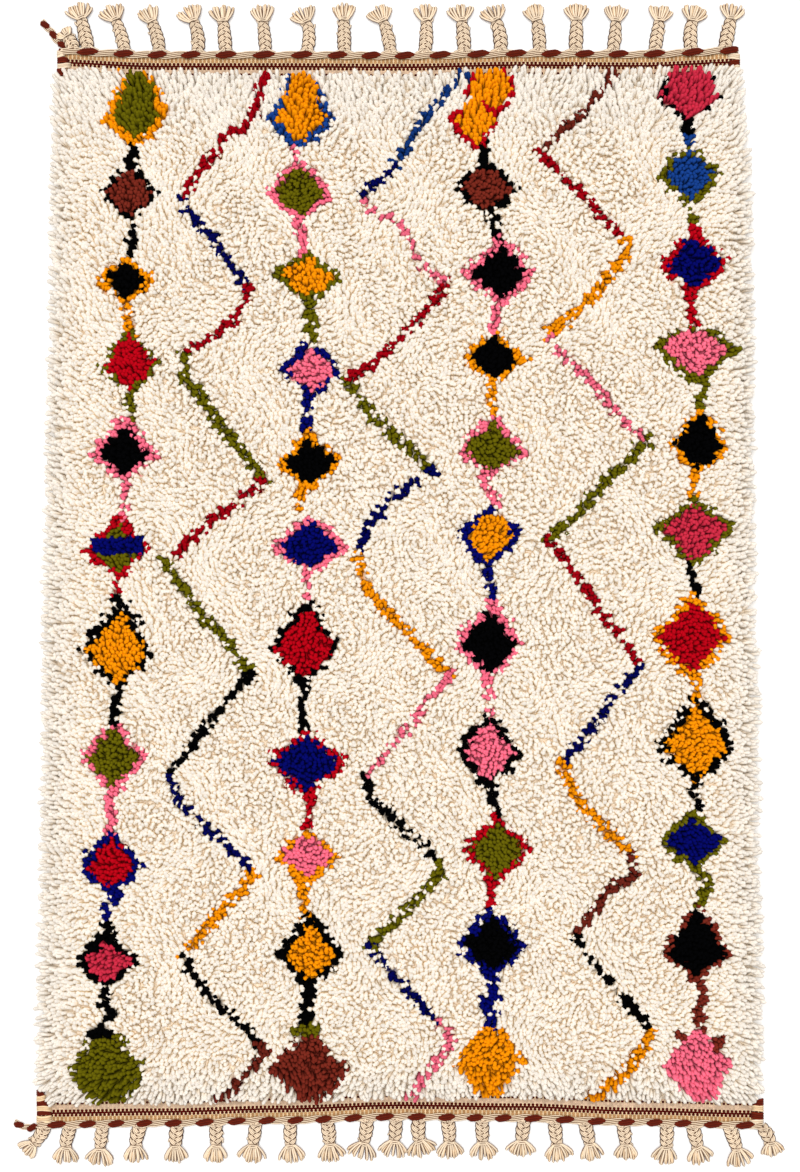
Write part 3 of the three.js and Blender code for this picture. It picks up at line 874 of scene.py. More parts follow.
def tuft_leans(x, y, draw):
    """How far each tuft leans to the right and towards the top end, in radians: outward near the
    edges, in slow swirls everywhere, and each tuft a little its own way."""
    u, v = x / (RUG_WIDTH / 2), y / (RUG_LENGTH / 2)
    calm = (1 - np.abs(u) ** CALM_SIDES) * (1 - np.abs(v) ** CALM_ENDS)
    right = SIDE_LEAN * np.sign(u) * np.abs(u) ** SIDE_POWER
    ahead = TOP_LEAN * np.maximum(v, 0) ** TOP_POWER - BOTTOM_LEAN * np.maximum(-v, 0) ** BOTTOM_POWER
    ahead = ahead + LEFT_LEAN * np.maximum(-u, 0) * (1 - np.abs(v) ** LEFT_FADE)
    for wave, strength in SWIRLS:
        heading = draw.uniform(0, 2 * math.pi)
        phase = (x * np.cos(heading) + y * np.sin(heading)) / (wave * MM) + draw.uniform(0, 2 * math.pi)
        ripple = strength * calm * np.cos(phase)
        right = right - np.sin(heading) * ripple
        ahead = ahead + np.cos(heading) * ripple
    lean = np.stack([right, ahead], 1) + draw.normal(0, OWN_LEAN, (len(x), 2))
    amount = np.linalg.norm(lean, axis=1, keepdims=True)
    return unit(lean) * (LEAST_LEAN + (MOST_LEAN - LEAST_LEAN) * (1 - np.exp(-amount / EASY_LEAN)))


# How wide the strips of combed-out pile are, and how far those at the ends begin from the cords
COMBED_TOP, COMBED_BOTTOM, COMBED_SIDE = 110 * MM, 45 * MM, 60 * MM
COMBED_FROM = 40 * MM


def combed_out(x, y):
    """How far the tufts at each place are combed out, long and thin: all the way at the rim, and over
    a wider strip at the top end."""
    top = 1 - (RUG_LENGTH / 2 - COMBED_FROM - y) / COMBED_TOP
    bottom = 1 - (RUG_LENGTH / 2 - COMBED_FROM + y) / COMBED_BOTTOM
    side = 1 - (RUG_WIDTH / 2 - np.abs(x)) / COMBED_SIDE
    return np.clip(np.maximum(np.maximum(top, bottom), side), 0, 1)


# How far the pile overhangs its long edges, how far single tufts stray outward and inward from the
# rim, in millimetres, and the least room that a tuft has
OVERHANG = 4 * MM
RIM_STRAY = (-5, 4)
LEAST_ROOM = 6 * MM
# A tuft counts as heading at least this much for the rim, so that no room is endless
LEAST_HEADING = 0.05


def rim_room(x, y, heading, draw):
    """How far a tuft at each place can reach along its heading before it passes the pile's rim."""
    share = x / RUG_WIDTH + 0.5
    uneven = draw.uniform(*RIM_STRAY, len(x)) * MM
    room = np.full(len(x), RUG_LENGTH)
    for axis, way, rim in (
        (0, -1, edge_x(-1, y) - OVERHANG),
        (0, 1, edge_x(1, y) + OVERHANG),
        (1, 1, cord_y("top", x) - read_rows(TIP_ROWS["top"], share)),
        (1, -1, cord_y("bottom", x) + read_rows(TIP_ROWS["bottom"], share)),
    ):
        gap = np.maximum(way * (rim - (x, y)[axis]) - uneven, LEAST_ROOM)
        room = np.minimum(room, gap / np.maximum(way * heading[:, axis], LEAST_HEADING))
    return room


# The outer share of a turn of weft that no tuft lies on
BARE_SHARE = 0.7


def over_turns(places):
    """Whether each place, in millimetres, lies on the bare part of the turns of weft at a corner."""
    covered = np.zeros(len(places), bool)
    for (end, side), turns in TURNS.items():
        from_corner = side * (corner_x(end, side) - places[:, 0])
        inward = ENDS[end]["way"] * (cord_y(end, places[:, 0] * MM) / MM - places[:, 1])
        for start, finish, reach, _ in turns:
            covered |= (inward > start) & (inward < finish) & (from_corner < BARE_SHARE * reach)
    return covered


class RUG_OT_tie_pile(Operator):
    """Ties the tufts of the pile, knot by knot, in undyed wool and in the wools of the motifs"""

    bl_idname = "rug.tie_pile"
    bl_label = "Tie Pile"

    # Shares along a tuft and how thick it is there, and the steps that do for one that leans less than
    # BENT_FROM
    STEPS = np.array([0, 0.55, 0.9, 1.0])
    TAPER = np.array([0.8, 0.97, 1.0, 0.0])
    STRAIGHT = np.array([0, 2, 3])
    BENT_FROM = 0.85
    SIDES = 4
    FIELD_PIECES = 4
    # How far the outermost knots are from the ground's edges, and from its top edge
    KNOT_INSET = 3 * MM
    TOP_INSET = 9 * MM
    # How far a knot strays from its place, as a share of the pitch, and how deep its tuft starts
    KNOT_JITTER = 0.2
    SUNK = 1 * MM
    # How a tuft leans over: slowly at first by a power, and bowed up by a share of its length
    CURL, BOW = 1.5, 0.55
    # How much longer, thinner and freer of its neighbours a combed-out tuft is, freer meaning less
    # painted shade on its sides, and how high a tuft's end may stand, as a share of an upright tuft
    LONGER, THINNER, FREER, HIGHEST = 0.4, 0.26, 0.6, 1.06
    # How far tufts differ in length, thickness and tone
    LENGTHS, WIDTHS, TONES = (0.9, 1.06), (0.86, 1.12), (0.9, 1.06)
    # Painted shade on each wool, deep in the pile and down the sides of each tuft: a mark, from what
    # share of it on the wool is clear, and the painted shade's colour
    UNDYED_DEEP = (("along", 0.5, "FDF5E6"), ("crown", 0.45, "F3D9A2"))
    DYED_DEEP = (("along", 0.6, "B0B0B0"), ("crown", 0.5, "9A8C82"))
    FIBRE = 1.6 * MM

    def execute(self, context):
        sizes, wools = context.scene.rug_sizes, context.scene.rug_wools
        draw = np.random.default_rng(11)
        x, y, foot = self.knots(sizes, draw)
        lean = tuft_leans(x, y, draw)
        combed = combed_out(x, y)
        routes = self.routes(sizes, x, y, foot, lean, combed, draw)
        thick = sizes.tuft_radius * (1 - self.THINNER * combed) * draw.uniform(*self.WIDTHS, len(x))
        radii = thick[:, None] * self.TAPER
        seen = routes[:, 2, :2] / MM
        names, in_zigzag = chart_wools(seen, draw)
        colours = np.array([getattr(wools, name) for name in names])
        colours = np.clip(colours * draw.uniform(*self.TONES, (len(x), 1)), 0, 1)
        # Painted shade on the zigzags' tufts, thin lines of knots between taller ivory tufts
        colours[in_zigzag] *= [[ZIGZAG_YARNS[name][1]] for name in names[in_zigzag]]
        undyed = spun_wool("cut_undyed_wool_pile", self.UNDYED_DEEP, self.FIBRE, gloss=0.2, sheen=0.1)
        dyed = spun_wool("cut_dyed_wool_pile", self.DYED_DEEP, self.FIBRE, gloss=0.02, sheen=0.0)
        names[over_turns(seen)] = "none"
        parts = np.array_split(np.nonzero(names == "ivory")[0], self.FIELD_PIECES)
        groups = {f"pile_field_{i + 1}": part for i, part in enumerate(parts)}
        dyed_tufts = (names != "ivory") & (names != "none")
        groups["pile_zigzags"] = np.nonzero(dyed_tufts & in_zigzag)[0]
        groups["pile_lozenges"] = np.nonzero(dyed_tufts & ~in_zigzag)[0]
        # Tufts with a loose foot or combed out stand freer, so their crown is raised and they get less
        # painted shade
        free = np.maximum(1 - foot / sizes.packed_foot, self.FREER * combed)
        for name, tufts in groups.items():
            yarns = Yarns()
            bent = np.linalg.norm(lean[tufts], axis=1) > self.BENT_FROM
            for part, steps in ((tufts[bent], slice(None)), (tufts[~bent], self.STRAIGHT)):
                yarns.add(routes[part][:, steps], radii[part][:, steps], self.SIDES, colours[part],
                          pointed=True, free=free[part])
            yarns.piece(name, undyed if name.startswith("pile_field") else dyed, "pile_wool")
        return {"FINISHED"}

    def knots(self, sizes, draw):
        """Where the knots are tied, every other row moved half a knot along, and the height of the
        packed foot there."""
        across = round((RUG_WIDTH - 2 * sizes.ground_draw_in - 2 * self.KNOT_INSET) / sizes.knot_pitch)
        along = round((pile_length() - 2 * self.KNOT_INSET) / sizes.knot_pitch)
        column, row = (grid.ravel() for grid in np.meshgrid(np.arange(across), np.arange(along)))
        jitter = self.KNOT_JITTER
        u = (column + 0.25 + 0.5 * (row % 2) + draw.uniform(-jitter, jitter, row.size)) / across
        v = (row + 0.5 + draw.uniform(-jitter, jitter, row.size)) / along
        edge_u, foot = self.KNOT_INSET / RUG_WIDTH, self.KNOT_INSET / RUG_LENGTH
        head = self.TOP_INSET / RUG_LENGTH
        u, v = edge_u + (1 - 2 * edge_u) * u, foot + (1 - foot - head) * v
        return *ground_places(sizes, u, v), packed_foot(sizes, u, v)

    def routes(self, sizes, x, y, foot, lean, combed, draw):
        """The middle line of the free part of each tuft: upright at first, then leaning over. Tufts
        that are combed out are longer, but no higher, and end at the rim."""
        angle = np.linalg.norm(lean, axis=1)
        heading = unit(lean)
        tuft = sizes.tuft_length * (1 + self.LONGER * combed) - foot
        tuft = tuft * draw.uniform(*self.LENGTHS, len(x))
        tuft = np.minimum(tuft, self.HIGHEST * (sizes.tuft_length - foot) / np.cos(angle))
        tuft = np.minimum(tuft, rim_room(x, y, heading, draw) / np.sin(angle))
        aside = (tuft * np.sin(angle))[:, None] * self.STEPS**self.CURL
        bow = self.BOW * self.STEPS * (1 - self.STEPS)
        upright = np.cos(angle)[:, None]
        rise = tuft[:, None] * (upright * self.STEPS + (1 - upright) * bow)
        flat = np.stack([x, y], 1)[:, None] + heading[:, None] * aside[..., None]
        base = sizes.ground_thickness + foot - self.SUNK
        return raised(flat, base[:, None] + rise)


class RUG_OT_weave_bands(Operator):
    """Weaves the flat band at each end, with its comb of dark picks and the turns of its edges"""

    bl_idname = "rug.weave_bands"
    bl_label = "Weave End Bands"

    # How far the floats stand over the grooves between them, how far they differ in height and tone, and
    # how dark the painted shade in the grooves is
    RIB_RELIEF = 1.3 * MM
    FLOAT_HEIGHTS, FLOAT_TONES = (0.6, 1.0), (0.74, 1.12)
    GROOVE_SHADE = 0.8
    # How far the floats on the covered ribs bulge over those beside them, as a share of a rib
    BULGE = {"all": 0, "even": -0.3, "odd": 0.3}
    # The band's outer edge, under the cord, from the cord's middle inward
    OUTER = -3.0

    def execute(self, context):
        sizes, wools = context.scene.rug_sizes, context.scene.rug_wools
        material = flat_woven_wool("weft_faced_band_wool")
        for end in ENDS:
            points, faces, colours = self.band(end, sizes, wools)
            piece = make_piece(f"woven_band_{end}", points, faces, colours, material)
            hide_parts(f"end_band_{end}")
        return {"FINISHED"}

    def band(self, end, sizes, wools):
        """A slab with a ridge for each float: a rib wide, and a pick long."""
        draw = np.random.default_rng(21)
        way = ENDS[end]["way"]
        left, right = (x * MM for x in ENDS[end]["cord"])
        ribs = round((right - left) / sizes.rib_pitch)
        edges = np.array([self.OUTER, *[pick[0] for pick in PICKS[end]]]) * MM
        rows = np.interp(np.arange(2 * len(PICKS[end]) + 1) / 2, np.arange(len(edges)), edges)
        columns = np.linspace(left, right, 2 * ribs + 1)
        x, out = np.meshgrid(columns, rows)
        for i, (_, _, ribs_covered) in enumerate(PICKS[end]):
            bulge = self.BULGE[ribs_covered] * sizes.rib_pitch
            x[2 * i + 1, ::2] += bulge * (-1.0) ** np.arange(ribs + 1)
        y = cord_y(end, x) - way * out
        high = np.outer(np.arange(len(rows)) % 2, np.arange(len(columns)) % 2)
        relief = high * draw.uniform(*self.FLOAT_HEIGHTS, x.shape) - 0.5
        z = sizes.band_thickness + self.RIB_RELIEF * relief
        points, faces = slab(np.stack([x, y, z], -1).reshape(-1, 3), len(columns), len(rows))
        if way > 0:
            faces = [face[:, ::-1] for face in faces]
        return points, faces, self.float_colours(end, ribs, faces, wools, draw)

    def crowns(self, faces, ribs):
        """The points that stand highest, in the middle of each float."""
        points = np.unique(faces)
        columns = 2 * ribs + 1
        return points[(points % columns % 2 == 1) & (points // columns % 2 == 1)]

    def float_colours(self, end, ribs, faces, wools, draw):
        """A colour for each corner: that of the float that its face belongs to, with painted shade at
        every corner but the float's crown.
        """
        across = np.arange(len(faces[0])) % (2 * ribs) // 2
        pick = np.arange(len(faces[0])) // (2 * ribs) // 2
        odd = np.arange(ribs) % 2 == 1
        covered = {"all": np.ones(ribs, bool), "even": ~odd, "odd": odd}
        floats = np.array([
            np.where(covered[ribs_covered][:, None], getattr(wools, name), wools.tan)
            for _, name, ribs_covered in PICKS[end]
        ])
        floats = floats * draw.uniform(*self.FLOAT_TONES, (*floats.shape[:2], 1))
        # Painted shade in the grooves: every corner but the float's crown is darkened
        groove = np.ones((len(faces[0]), 4, 1))
        groove[np.isin(faces[0], self.crowns(faces[0], ribs), invert=True)] = self.GROOVE_SHADE
        upper = (floats[pick, across][:, None] * groove).reshape(-1, 3)
        rest = sum(face.size for face in faces[1:])
        return np.concatenate([upper, np.broadcast_to(wools.tan, (rest, 3))])


class RUG_OT_twine_cords(Operator):
    """Twines the end cords of dark and pale wool, with the loose tail of each at its corner"""

    bl_idname = "rug.twine_cords"
    bl_label = "Twine End Cords"

    # Painted shade down the sides of each yarn of the cords
    DEEP = (("crown", 0.7, "B78D5E"),)
    FIBRE = 1.2 * MM
    DARK_YARNS = 6
    PALE_YARNS = 4
    SIDES = 4
    STEP = 3.6 * MM
    # How much more than half the way the dark strand is on top, in a cord and in its loose tail
    CORD_DARK, TAIL_DARK = 0.3, 0.7
    # The tail's strands: the angle they start at, their lay and size, and the points along them
    TAIL_START, TAIL_LAY, TAIL_SIZE, TAIL_STEPS = 1.2, 19.5 * MM, 0.9, 24
    # How far the strands stray from an even lay, in radians, and the length over 2 pi of the wave that
    # they stray in, as a share of the lay
    LAY_STRAY, LAY_WAVE = 0.45, 0.93
    # How steeply the dark strand comes up and dives, and its breadth where it is under
    STEEP, NARROWEST = 1.8, 0.02
    # The pale strand's breadth, how far it gives way to the dark one, and how high its middle arches
    PALE_BREADTH, PALE_DIP, ARCH = 0.9, 0.5, 0.7
    # How far apart the dark yarns of painted shade between the pale ones lie, and their height
    BETWEEN_REACH, BETWEEN_RISE = 0.7, 0.75
    # The tone of the dark yarns and of the turns of weft, and how far it differs from yarn to yarn
    DARK_TONE, DARK_UNEVEN = 0.92, 0.2
    TURN_TONE, TURN_UNEVEN = 0.9, 0.1
    # A turn of weft: its yarns, shares of its reach and the rise over the band there, how far it stands
    # out from the corner, and how thick and wavy its yarns are
    TURN_YARNS, TURN_SIDES = 3, 6
    TURN_STEPS = np.array([0, 0.3, 0.6, 0.85, 1.0])
    TURN_RISE = np.array([0.5, 2.6, 2.6, 1.2, -0.6]) * MM
    TURN_OUT = 2 * MM
    TURN_THICK, TURN_WAVE = 0.6, 0.9

    def execute(self, context):
        sizes, wools = context.scene.rug_sizes, context.scene.rug_wools
        material = spun_wool("twined_handspun_wool", self.DEEP, self.FIBRE, gloss=0.1, sheen=0.02)
        for end in ENDS:
            yarns = Yarns()
            left, right = (x * MM for x in ENDS[end]["cord"])
            x = np.linspace(left, right, round((right - left) / self.STEP))
            path = np.stack([x, cord_y(end, x)], 1)
            start, lay, level = ENDS[end]["start"], ENDS[end]["lay"] * MM, sizes.band_thickness
            self.twine(yarns, path, start, lay, 1.0, level, self.CORD_DARK, sizes, wools)
            at, out = np.array(TAILS[end]).T * MM
            share = np.linspace(0, len(at) - 1, self.TAIL_STEPS)
            at, out = (np.interp(share, np.arange(len(at)), values) for values in (at, out))
            tail = np.stack([at, cord_y(end, at) + ENDS[end]["way"] * out], 1)
            self.twine(yarns, tail, self.TAIL_START, self.TAIL_LAY, self.TAIL_SIZE, 0.0, self.TAIL_DARK,
                       sizes, wools)
            for side in (-1, 1):
                self.wrap(yarns, end, side, sizes, wools)
            piece = yarns.piece(f"twined_cord_{end}", material, "warp_wool")
            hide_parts(f"braided_fringe_{end}")
        return {"FINISHED"}

    def twine(self, yarns, path, start, lay, size, level, dark_share, sizes, wools):
        """A pale strand along a path, and a dark one that comes up over it once in every lay and
        spreads out there, then dives under it. level is the height that they lie at."""
        gone = way_gone(path)
        stray = self.LAY_STRAY * np.sin(gone / (self.LAY_WAVE * lay))
        turn = start - 2 * math.pi * gone / lay + stray
        over = np.sin(turn) + dark_share
        height = np.clip(self.STEEP * over, -1, 1)
        spread = np.clip(over, self.NARROWEST, 1)
        swing = size * sizes.cord_swing * np.cos(turn)
        across = -to_right(unit(np.gradient(path, axis=0)))
        yarn = sizes.cord_yarn * size
        umber = np.array(wools.umber)
        places = np.linspace(-1, 1, self.DARK_YARNS)
        tones = self.DARK_TONE + self.DARK_UNEVEN * np.sin(9 * places)
        dark = [(place, umber * tone) for place, tone in zip(places, tones)]
        pale = [(place, wools.warp) for place in np.linspace(-1, 1, self.PALE_YARNS)]
        # Dark yarns of painted shade, between and under the pale ones
        places = np.linspace(-self.BETWEEN_REACH, self.BETWEEN_REACH, self.PALE_YARNS - 1)
        between = [(place, wools.shaded) for place in places]
        dip = self.PALE_DIP * height
        for strand, breadth, aside, rise in (
            (dark, spread, swing, 1 + height),
            (pale, self.PALE_BREADTH, -swing, 1 - dip),
            (between, self.PALE_BREADTH, -swing, self.BETWEEN_RISE - dip),
        ):
            for place, colour in strand:
                flat = path + across * (aside + place * size * sizes.cord_breadth * breadth)[:, None]
                arch = self.ARCH * yarn * (1 - place * place)
                route = raised(flat, level + yarn + size * sizes.cord_rise * rise + arch)
                yarns.add(route[None], np.full((1, len(path)), yarn), self.SIDES, np.array([colour]))

    def wrap(self, yarns, end, side, sizes, wools):
        """The turns of weft round the band's corner warps."""
        edge = corner_x(end, side) * MM + side * self.TURN_OUT
        rise = sizes.band_thickness + self.TURN_RISE
        for start, finish, reach, name in TURNS[end, side]:
            radius = self.TURN_THICK * (finish - start) / self.TURN_YARNS * MM
            x = edge - side * reach * MM * (1 - self.TURN_STEPS)
            wave = self.TURN_WAVE * np.sin(4 * self.TURN_STEPS + start)
            for place in (np.arange(self.TURN_YARNS) + 0.5) / self.TURN_YARNS:
                inward = (start + (finish - start) * place + wave) * MM
                route = np.stack([x, cord_y(end, x) - ENDS[end]["way"] * inward, rise], 1)
                tone = self.TURN_TONE + self.TURN_UNEVEN * math.cos(7 * place)
                shade = np.array(getattr(wools, name)) * tone
                yarns.add(route[None], np.full((1, len(x)), radius), self.TURN_SIDES, shade[None])


class RUG_OT_plait_braids(Operator):
    """Plaits the warp ends into braids, and leaves a loose brush at the end of each"""

    bl_idname = "rug.plait_braids"
    bl_label = "Plait Braids"

    # Painted shade down the sides of each yarn of the braids
    DEEP = (("crown", 0.7, "87562B"),)
    FIBRE = 1.2 * MM
    TONES = (0.86, 1.06)
    STEPS = 22
    SIDES = 4
    STRANDS = 3
    YARN_PITCH = 3.3 * MM
    PLAIT_PITCH = 25 * MM
    # How far from the cord's middle a plait begins, its size along its length, and how far the size and
    # the pitch of one plait differ from another's
    PLAIT_START = 3 * MM
    PLAIT_SHARES, PLAIT_SIZES = (0, 0.35, 0.8, 1), (0.9, 1.05, 0.88, 0.66)
    PLAIT_SPREAD, PITCH_SPREAD = (0.93, 1.04), (0.86, 1.08)
    # How far the strands of a plait are lifted off the floor, in half yarns
    PLAIT_LIFT = 1.65
    # Where the pale yarns and the dark yarns of painted shade lie across a strand, and how thick the dark
    # ones are, how far below the pale ones they lie and how far they tuck in where a strand turns
    PALE_PLACES, BROWN_PLACES = (-0.66, 0, 0.66), (-1.3, 1.3)
    BROWN_THICK, BROWN_LOW, BROWN_TUCK = 0.85, 0.25, 0.35
    # The brush: shares along its ends and how thick they are there, half its breadth at the neck, how
    # far it starts inside the plait, and in millimetres the heights of its upper and lower ends at the
    # start and of all at the tip
    BRUSH_ENDS = 15
    # Painted shade on the lower ends of the brush, which lie under the upper ones
    BRUSH_SHADE = (0.9, 0.82, 0.72)
    BRUSH_STEPS = np.array([0, 0.35, 0.7, 0.92, 1])
    BRUSH_TAPER = np.array([0.8, 1.25, 1.4, 1.2, 0])
    BRUSH_HALF, BRUSH_TUCK = 5.5 * MM, 4 * MM
    BRUSH_UPPER, BRUSH_LOWER, BRUSH_TIPS = 8.0, 5.5, (1.6, 5)
    # How far one brush fans out more than another, how far its ends stray in angle and in length, and
    # how much shorter the outermost are
    FAN_SPREAD, END_STRAY, END_LENGTHS, BRUSH_ROUND = (0.8, 1.2), 0.1, (0.84, 1.04), 0.12
    # The tie: how far back from the neck each of its turns lies and how far it slants, in millimetres,
    # half its breadth, and in half yarns how thick it is and how far it stands over the strands
    TIE_BACK, TIE_SLANT = (0.5, 3.2), 1.5
    TIE_HALF, TIE_THICK, TIE_HIGH, TIE_STEPS = 6.6 * MM, 0.9, 1.4, 7
    # The stray ends: the steps of the plait that they start between, shares along them and how thick
    # they are there, how far aside and how high they start, how far they drop, and in millimetres how
    # far out and on they reach
    STRAY_ENDS, STRAY_FROM, STRAY_TO = 3, 4, 20
    STRAY_STEPS = np.array([0, 0.5, 0.9, 1])[:, None]
    STRAY_TAPER = np.array([0.8, 1, 0.95, 0])
    STRAY_START, STRAY_RISE, STRAY_FALL = 6 * MM, 6 * MM, 3 * MM
    STRAY_OUT, STRAY_ON = (2, 4.5), (5, 9)
    # The root: how far to either side its warps come from, in millimetres, how far from the cord's
    # middle and how high they start, how far they climb, and how close they run together
    ROOT_YARNS, ROOT_STEPS, ROOT_THICK = 8, 6, 0.8
    ROOT_HALF, ROOT_STRAY = 13, 2
    ROOT_START, ROOT_RISE, ROOT_CLIMB = 3.6 * MM, 5.5 * MM, 3 * MM
    ROOT_CLOSE, ROOT_EASE = 0.3, 0.7

    def execute(self, context):
        sizes, wools = context.scene.rug_sizes, context.scene.rug_wools
        material = spun_wool("plaited_handspun_warp_wool", self.DEEP, self.FIBRE, gloss=0.15, sheen=0.05)
        draw = np.random.default_rng(31)
        for end, rows in BRAIDS.items():
            yarns = Yarns()
            for row in rows:
                self.braid(yarns, end, [value * MM for value in row], sizes, wools, draw)
            yarns.piece(f"braids_{end}", material, "warp_wool")
        return {"FINISHED"}

    def braid(self, yarns, end, row, sizes, wools, draw):
        """One braid: the plait, the brush at its end, the warps that gather at its root, the tie round
        its neck, and the stray ends at its sides."""
        at, lean, bow, reach = row
        way, plaited, fan = (ENDS[end][key] for key in ("way", "plaited", "fan"))
        root = np.array([at, cord_y(end, at) + way * self.PLAIT_START])
        neck = np.array([at + lean * plaited, cord_y(end, at) + way * reach * plaited])
        share = np.linspace(0, 1, self.STEPS)[:, None]
        bend = (root + neck) / 2 + np.array([2 * bow, 0])
        path = root * (1 - share) ** 2 + 2 * bend * share * (1 - share) + neck * share**2
        ahead = unit(np.gradient(path, axis=0))
        across = to_right(ahead)
        self.plait(yarns, path, across, share[:, 0], sizes, wools, draw)
        self.brush(yarns, neck, ahead[-1], across[-1], reach * (1 - plaited), fan, sizes, wools, draw)
        self.gather(yarns, end, at, path[2], sizes, wools, draw)
        self.tie(yarns, neck, ahead[-1], across[-1], sizes, wools, draw)
        self.strays(yarns, path, ahead, across, sizes, wools, draw)

    def shades(self, wools, count, draw):
        """The warp wool's colour with a little of its own unevenness, for each yarn."""
        return np.clip(np.array(wools.warp) * draw.uniform(*self.TONES, (count, 1)), 0, 1)

    def plait(self, yarns, path, across, share, sizes, wools, draw):
        """Three flat strands that pass over each other in turn, each of three yarns side by side, with
        dark yarns of painted shade showing beside them where they cross."""
        gone = way_gone(path)
        size = np.interp(share, self.PLAIT_SHARES, self.PLAIT_SIZES) * draw.uniform(*self.PLAIT_SPREAD)
        pitch = self.PLAIT_PITCH * draw.uniform(*self.PITCH_SPREAD)
        start = draw.uniform(0, 2 * math.pi)
        lift = sizes.braid_rise + self.PLAIT_LIFT * sizes.warp_yarn
        pale, brown = [], []
        for strand in range(self.STRANDS):
            turn = start + 2 * math.pi * (gone / pitch + strand / self.STRANDS)
            flat = path + across * (size * sizes.braid_swing * np.sin(turn))[:, None]
            height = lift - size * sizes.braid_rise * np.sin(2 * turn)
            beside = to_right(unit(np.gradient(flat, axis=0))) * (size * self.YARN_PITCH)[:, None]
            for place in self.PALE_PLACES:
                pale.append(raised(flat + beside * place, height))
            # Dark yarns of painted shade, below and beside the pale ones
            crossing = 1 - self.BROWN_TUCK * np.abs(np.sin(turn))[:, None]
            for place in self.BROWN_PLACES:
                low = height - self.BROWN_LOW * sizes.warp_yarn
                brown.append(raised(flat + beside * place * crossing, low))
        for routes, colours, thick in (
            (pale, self.shades(wools, len(pale), draw), 1.0),
            (brown, np.tile(wools.shaded, (len(brown), 1)), self.BROWN_THICK),
        ):
            radii = np.broadcast_to(thick * sizes.warp_yarn * size, (len(routes), len(path)))
            yarns.add(np.array(routes), radii, self.SIDES, colours)

    def brush(self, yarns, neck, ahead, across, reach, fan, sizes, wools, draw):
        """The loose yarn ends beyond the plait, fanned out on the floor."""
        count, share = self.BRUSH_ENDS, self.BRUSH_STEPS
        place = np.linspace(-1, 1, count)
        fan = fan * place * draw.uniform(*self.FAN_SPREAD)
        fan = fan + draw.uniform(-self.END_STRAY, self.END_STRAY, count)
        start = self.BRUSH_HALF * place
        far = (reach + self.BRUSH_TUCK) * (1 - self.BRUSH_ROUND * place**2)
        far = far * draw.uniform(*self.END_LENGTHS, count)
        aside = start[:, None] + (far * np.sin(fan))[:, None] * np.sin(share * math.pi / 2)
        out = (far * np.cos(fan))[:, None] * share - self.BRUSH_TUCK
        flat = neck + ahead * out[..., None] + across * aside[..., None]
        top = np.where(np.arange(count) % 2 == 0, self.BRUSH_UPPER, self.BRUSH_LOWER) * MM
        rise = top[:, None] * (1 - share) + draw.uniform(*self.BRUSH_TIPS, count)[:, None] * MM * share
        radii = np.broadcast_to(sizes.warp_yarn * self.BRUSH_TAPER, (count, len(share)))
        colours = self.shades(wools, count, draw)
        # Painted shade on the lower ends
        colours[1::2] *= self.BRUSH_SHADE
        yarns.add(raised(flat, rise), radii, self.SIDES, colours, pointed=True)

    def tie(self, yarns, neck, ahead, across, sizes, wools, draw):
        """A yarn wound twice round the plait's neck, so that it can't come undone."""
        turn = np.linspace(0, math.pi, self.TIE_STEPS)[:, None]
        height = 2 * sizes.braid_rise + self.TIE_HIGH * sizes.warp_yarn
        rise = 2 * sizes.warp_yarn + height * np.sin(turn)
        routes = []
        for back in self.TIE_BACK:
            slant = draw.uniform(-self.TIE_SLANT, self.TIE_SLANT) * np.cos(turn) - back
            flat = neck + ahead * slant * MM + across * np.cos(turn) * self.TIE_HALF
            routes.append(np.concatenate([flat, rise], 1))
        radii = np.full((len(routes), len(turn)), self.TIE_THICK * sizes.warp_yarn)
        yarns.add(np.array(routes), radii, self.SIDES, self.shades(wools, len(routes), draw))

    def strays(self, yarns, path, ahead, across, sizes, wools, draw):
        """Ends of joined warps that stand out from the sides of the plait."""
        count, share = self.STRAY_ENDS, self.STRAY_STEPS
        at = draw.integers(self.STRAY_FROM, self.STRAY_TO, count)
        side = draw.choice((-1, 1), count)[:, None, None]
        reach = draw.uniform(*self.STRAY_OUT, count)[:, None, None] * MM
        out = self.STRAY_START + reach * np.sqrt(share)
        on = draw.uniform(*self.STRAY_ON, count)[:, None, None] * MM * share
        flat = path[at][:, None] + across[at][:, None] * side * out + ahead[at][:, None] * on
        rise = np.broadcast_to(self.STRAY_RISE - self.STRAY_FALL * share, (count, len(share), 1))
        radii = np.broadcast_to(sizes.warp_yarn * self.STRAY_TAPER, (count, len(share)))
        yarns.add(np.concatenate([flat, rise], -1), radii, self.SIDES, self.shades(wools, count, draw),
                  pointed=True)

    def gather(self, yarns, end, at, joint, sizes, wools, draw):
        """The warps that come over the cord and run together into the braid's root."""
        count, half, stray = self.ROOT_YARNS, self.ROOT_HALF, self.ROOT_STRAY
        share = np.linspace(0, 1, self.ROOT_STEPS)
        origin = np.linspace(-half, half, count) * MM + draw.uniform(-stray, stray, count) * MM
        y = cord_y(end, at + origin) + ENDS[end]["way"] * self.ROOT_START
        start = np.stack([at + origin, y], 1)
        finish = joint + np.stack([origin * self.ROOT_CLOSE, np.zeros(count)], 1)
        ease = share[:, None] ** self.ROOT_EASE
        flat = start[:, None] * (1 - ease) + finish[:, None] * ease
        rise = np.broadcast_to(self.ROOT_RISE + self.ROOT_CLIMB * share, (count, len(share)))
        radii = np.full(rise.shape, self.ROOT_THICK * sizes.warp_yarn)
        yarns.add(raised(flat, rise), radii, self.SIDES, self.shades(wools, count, draw))


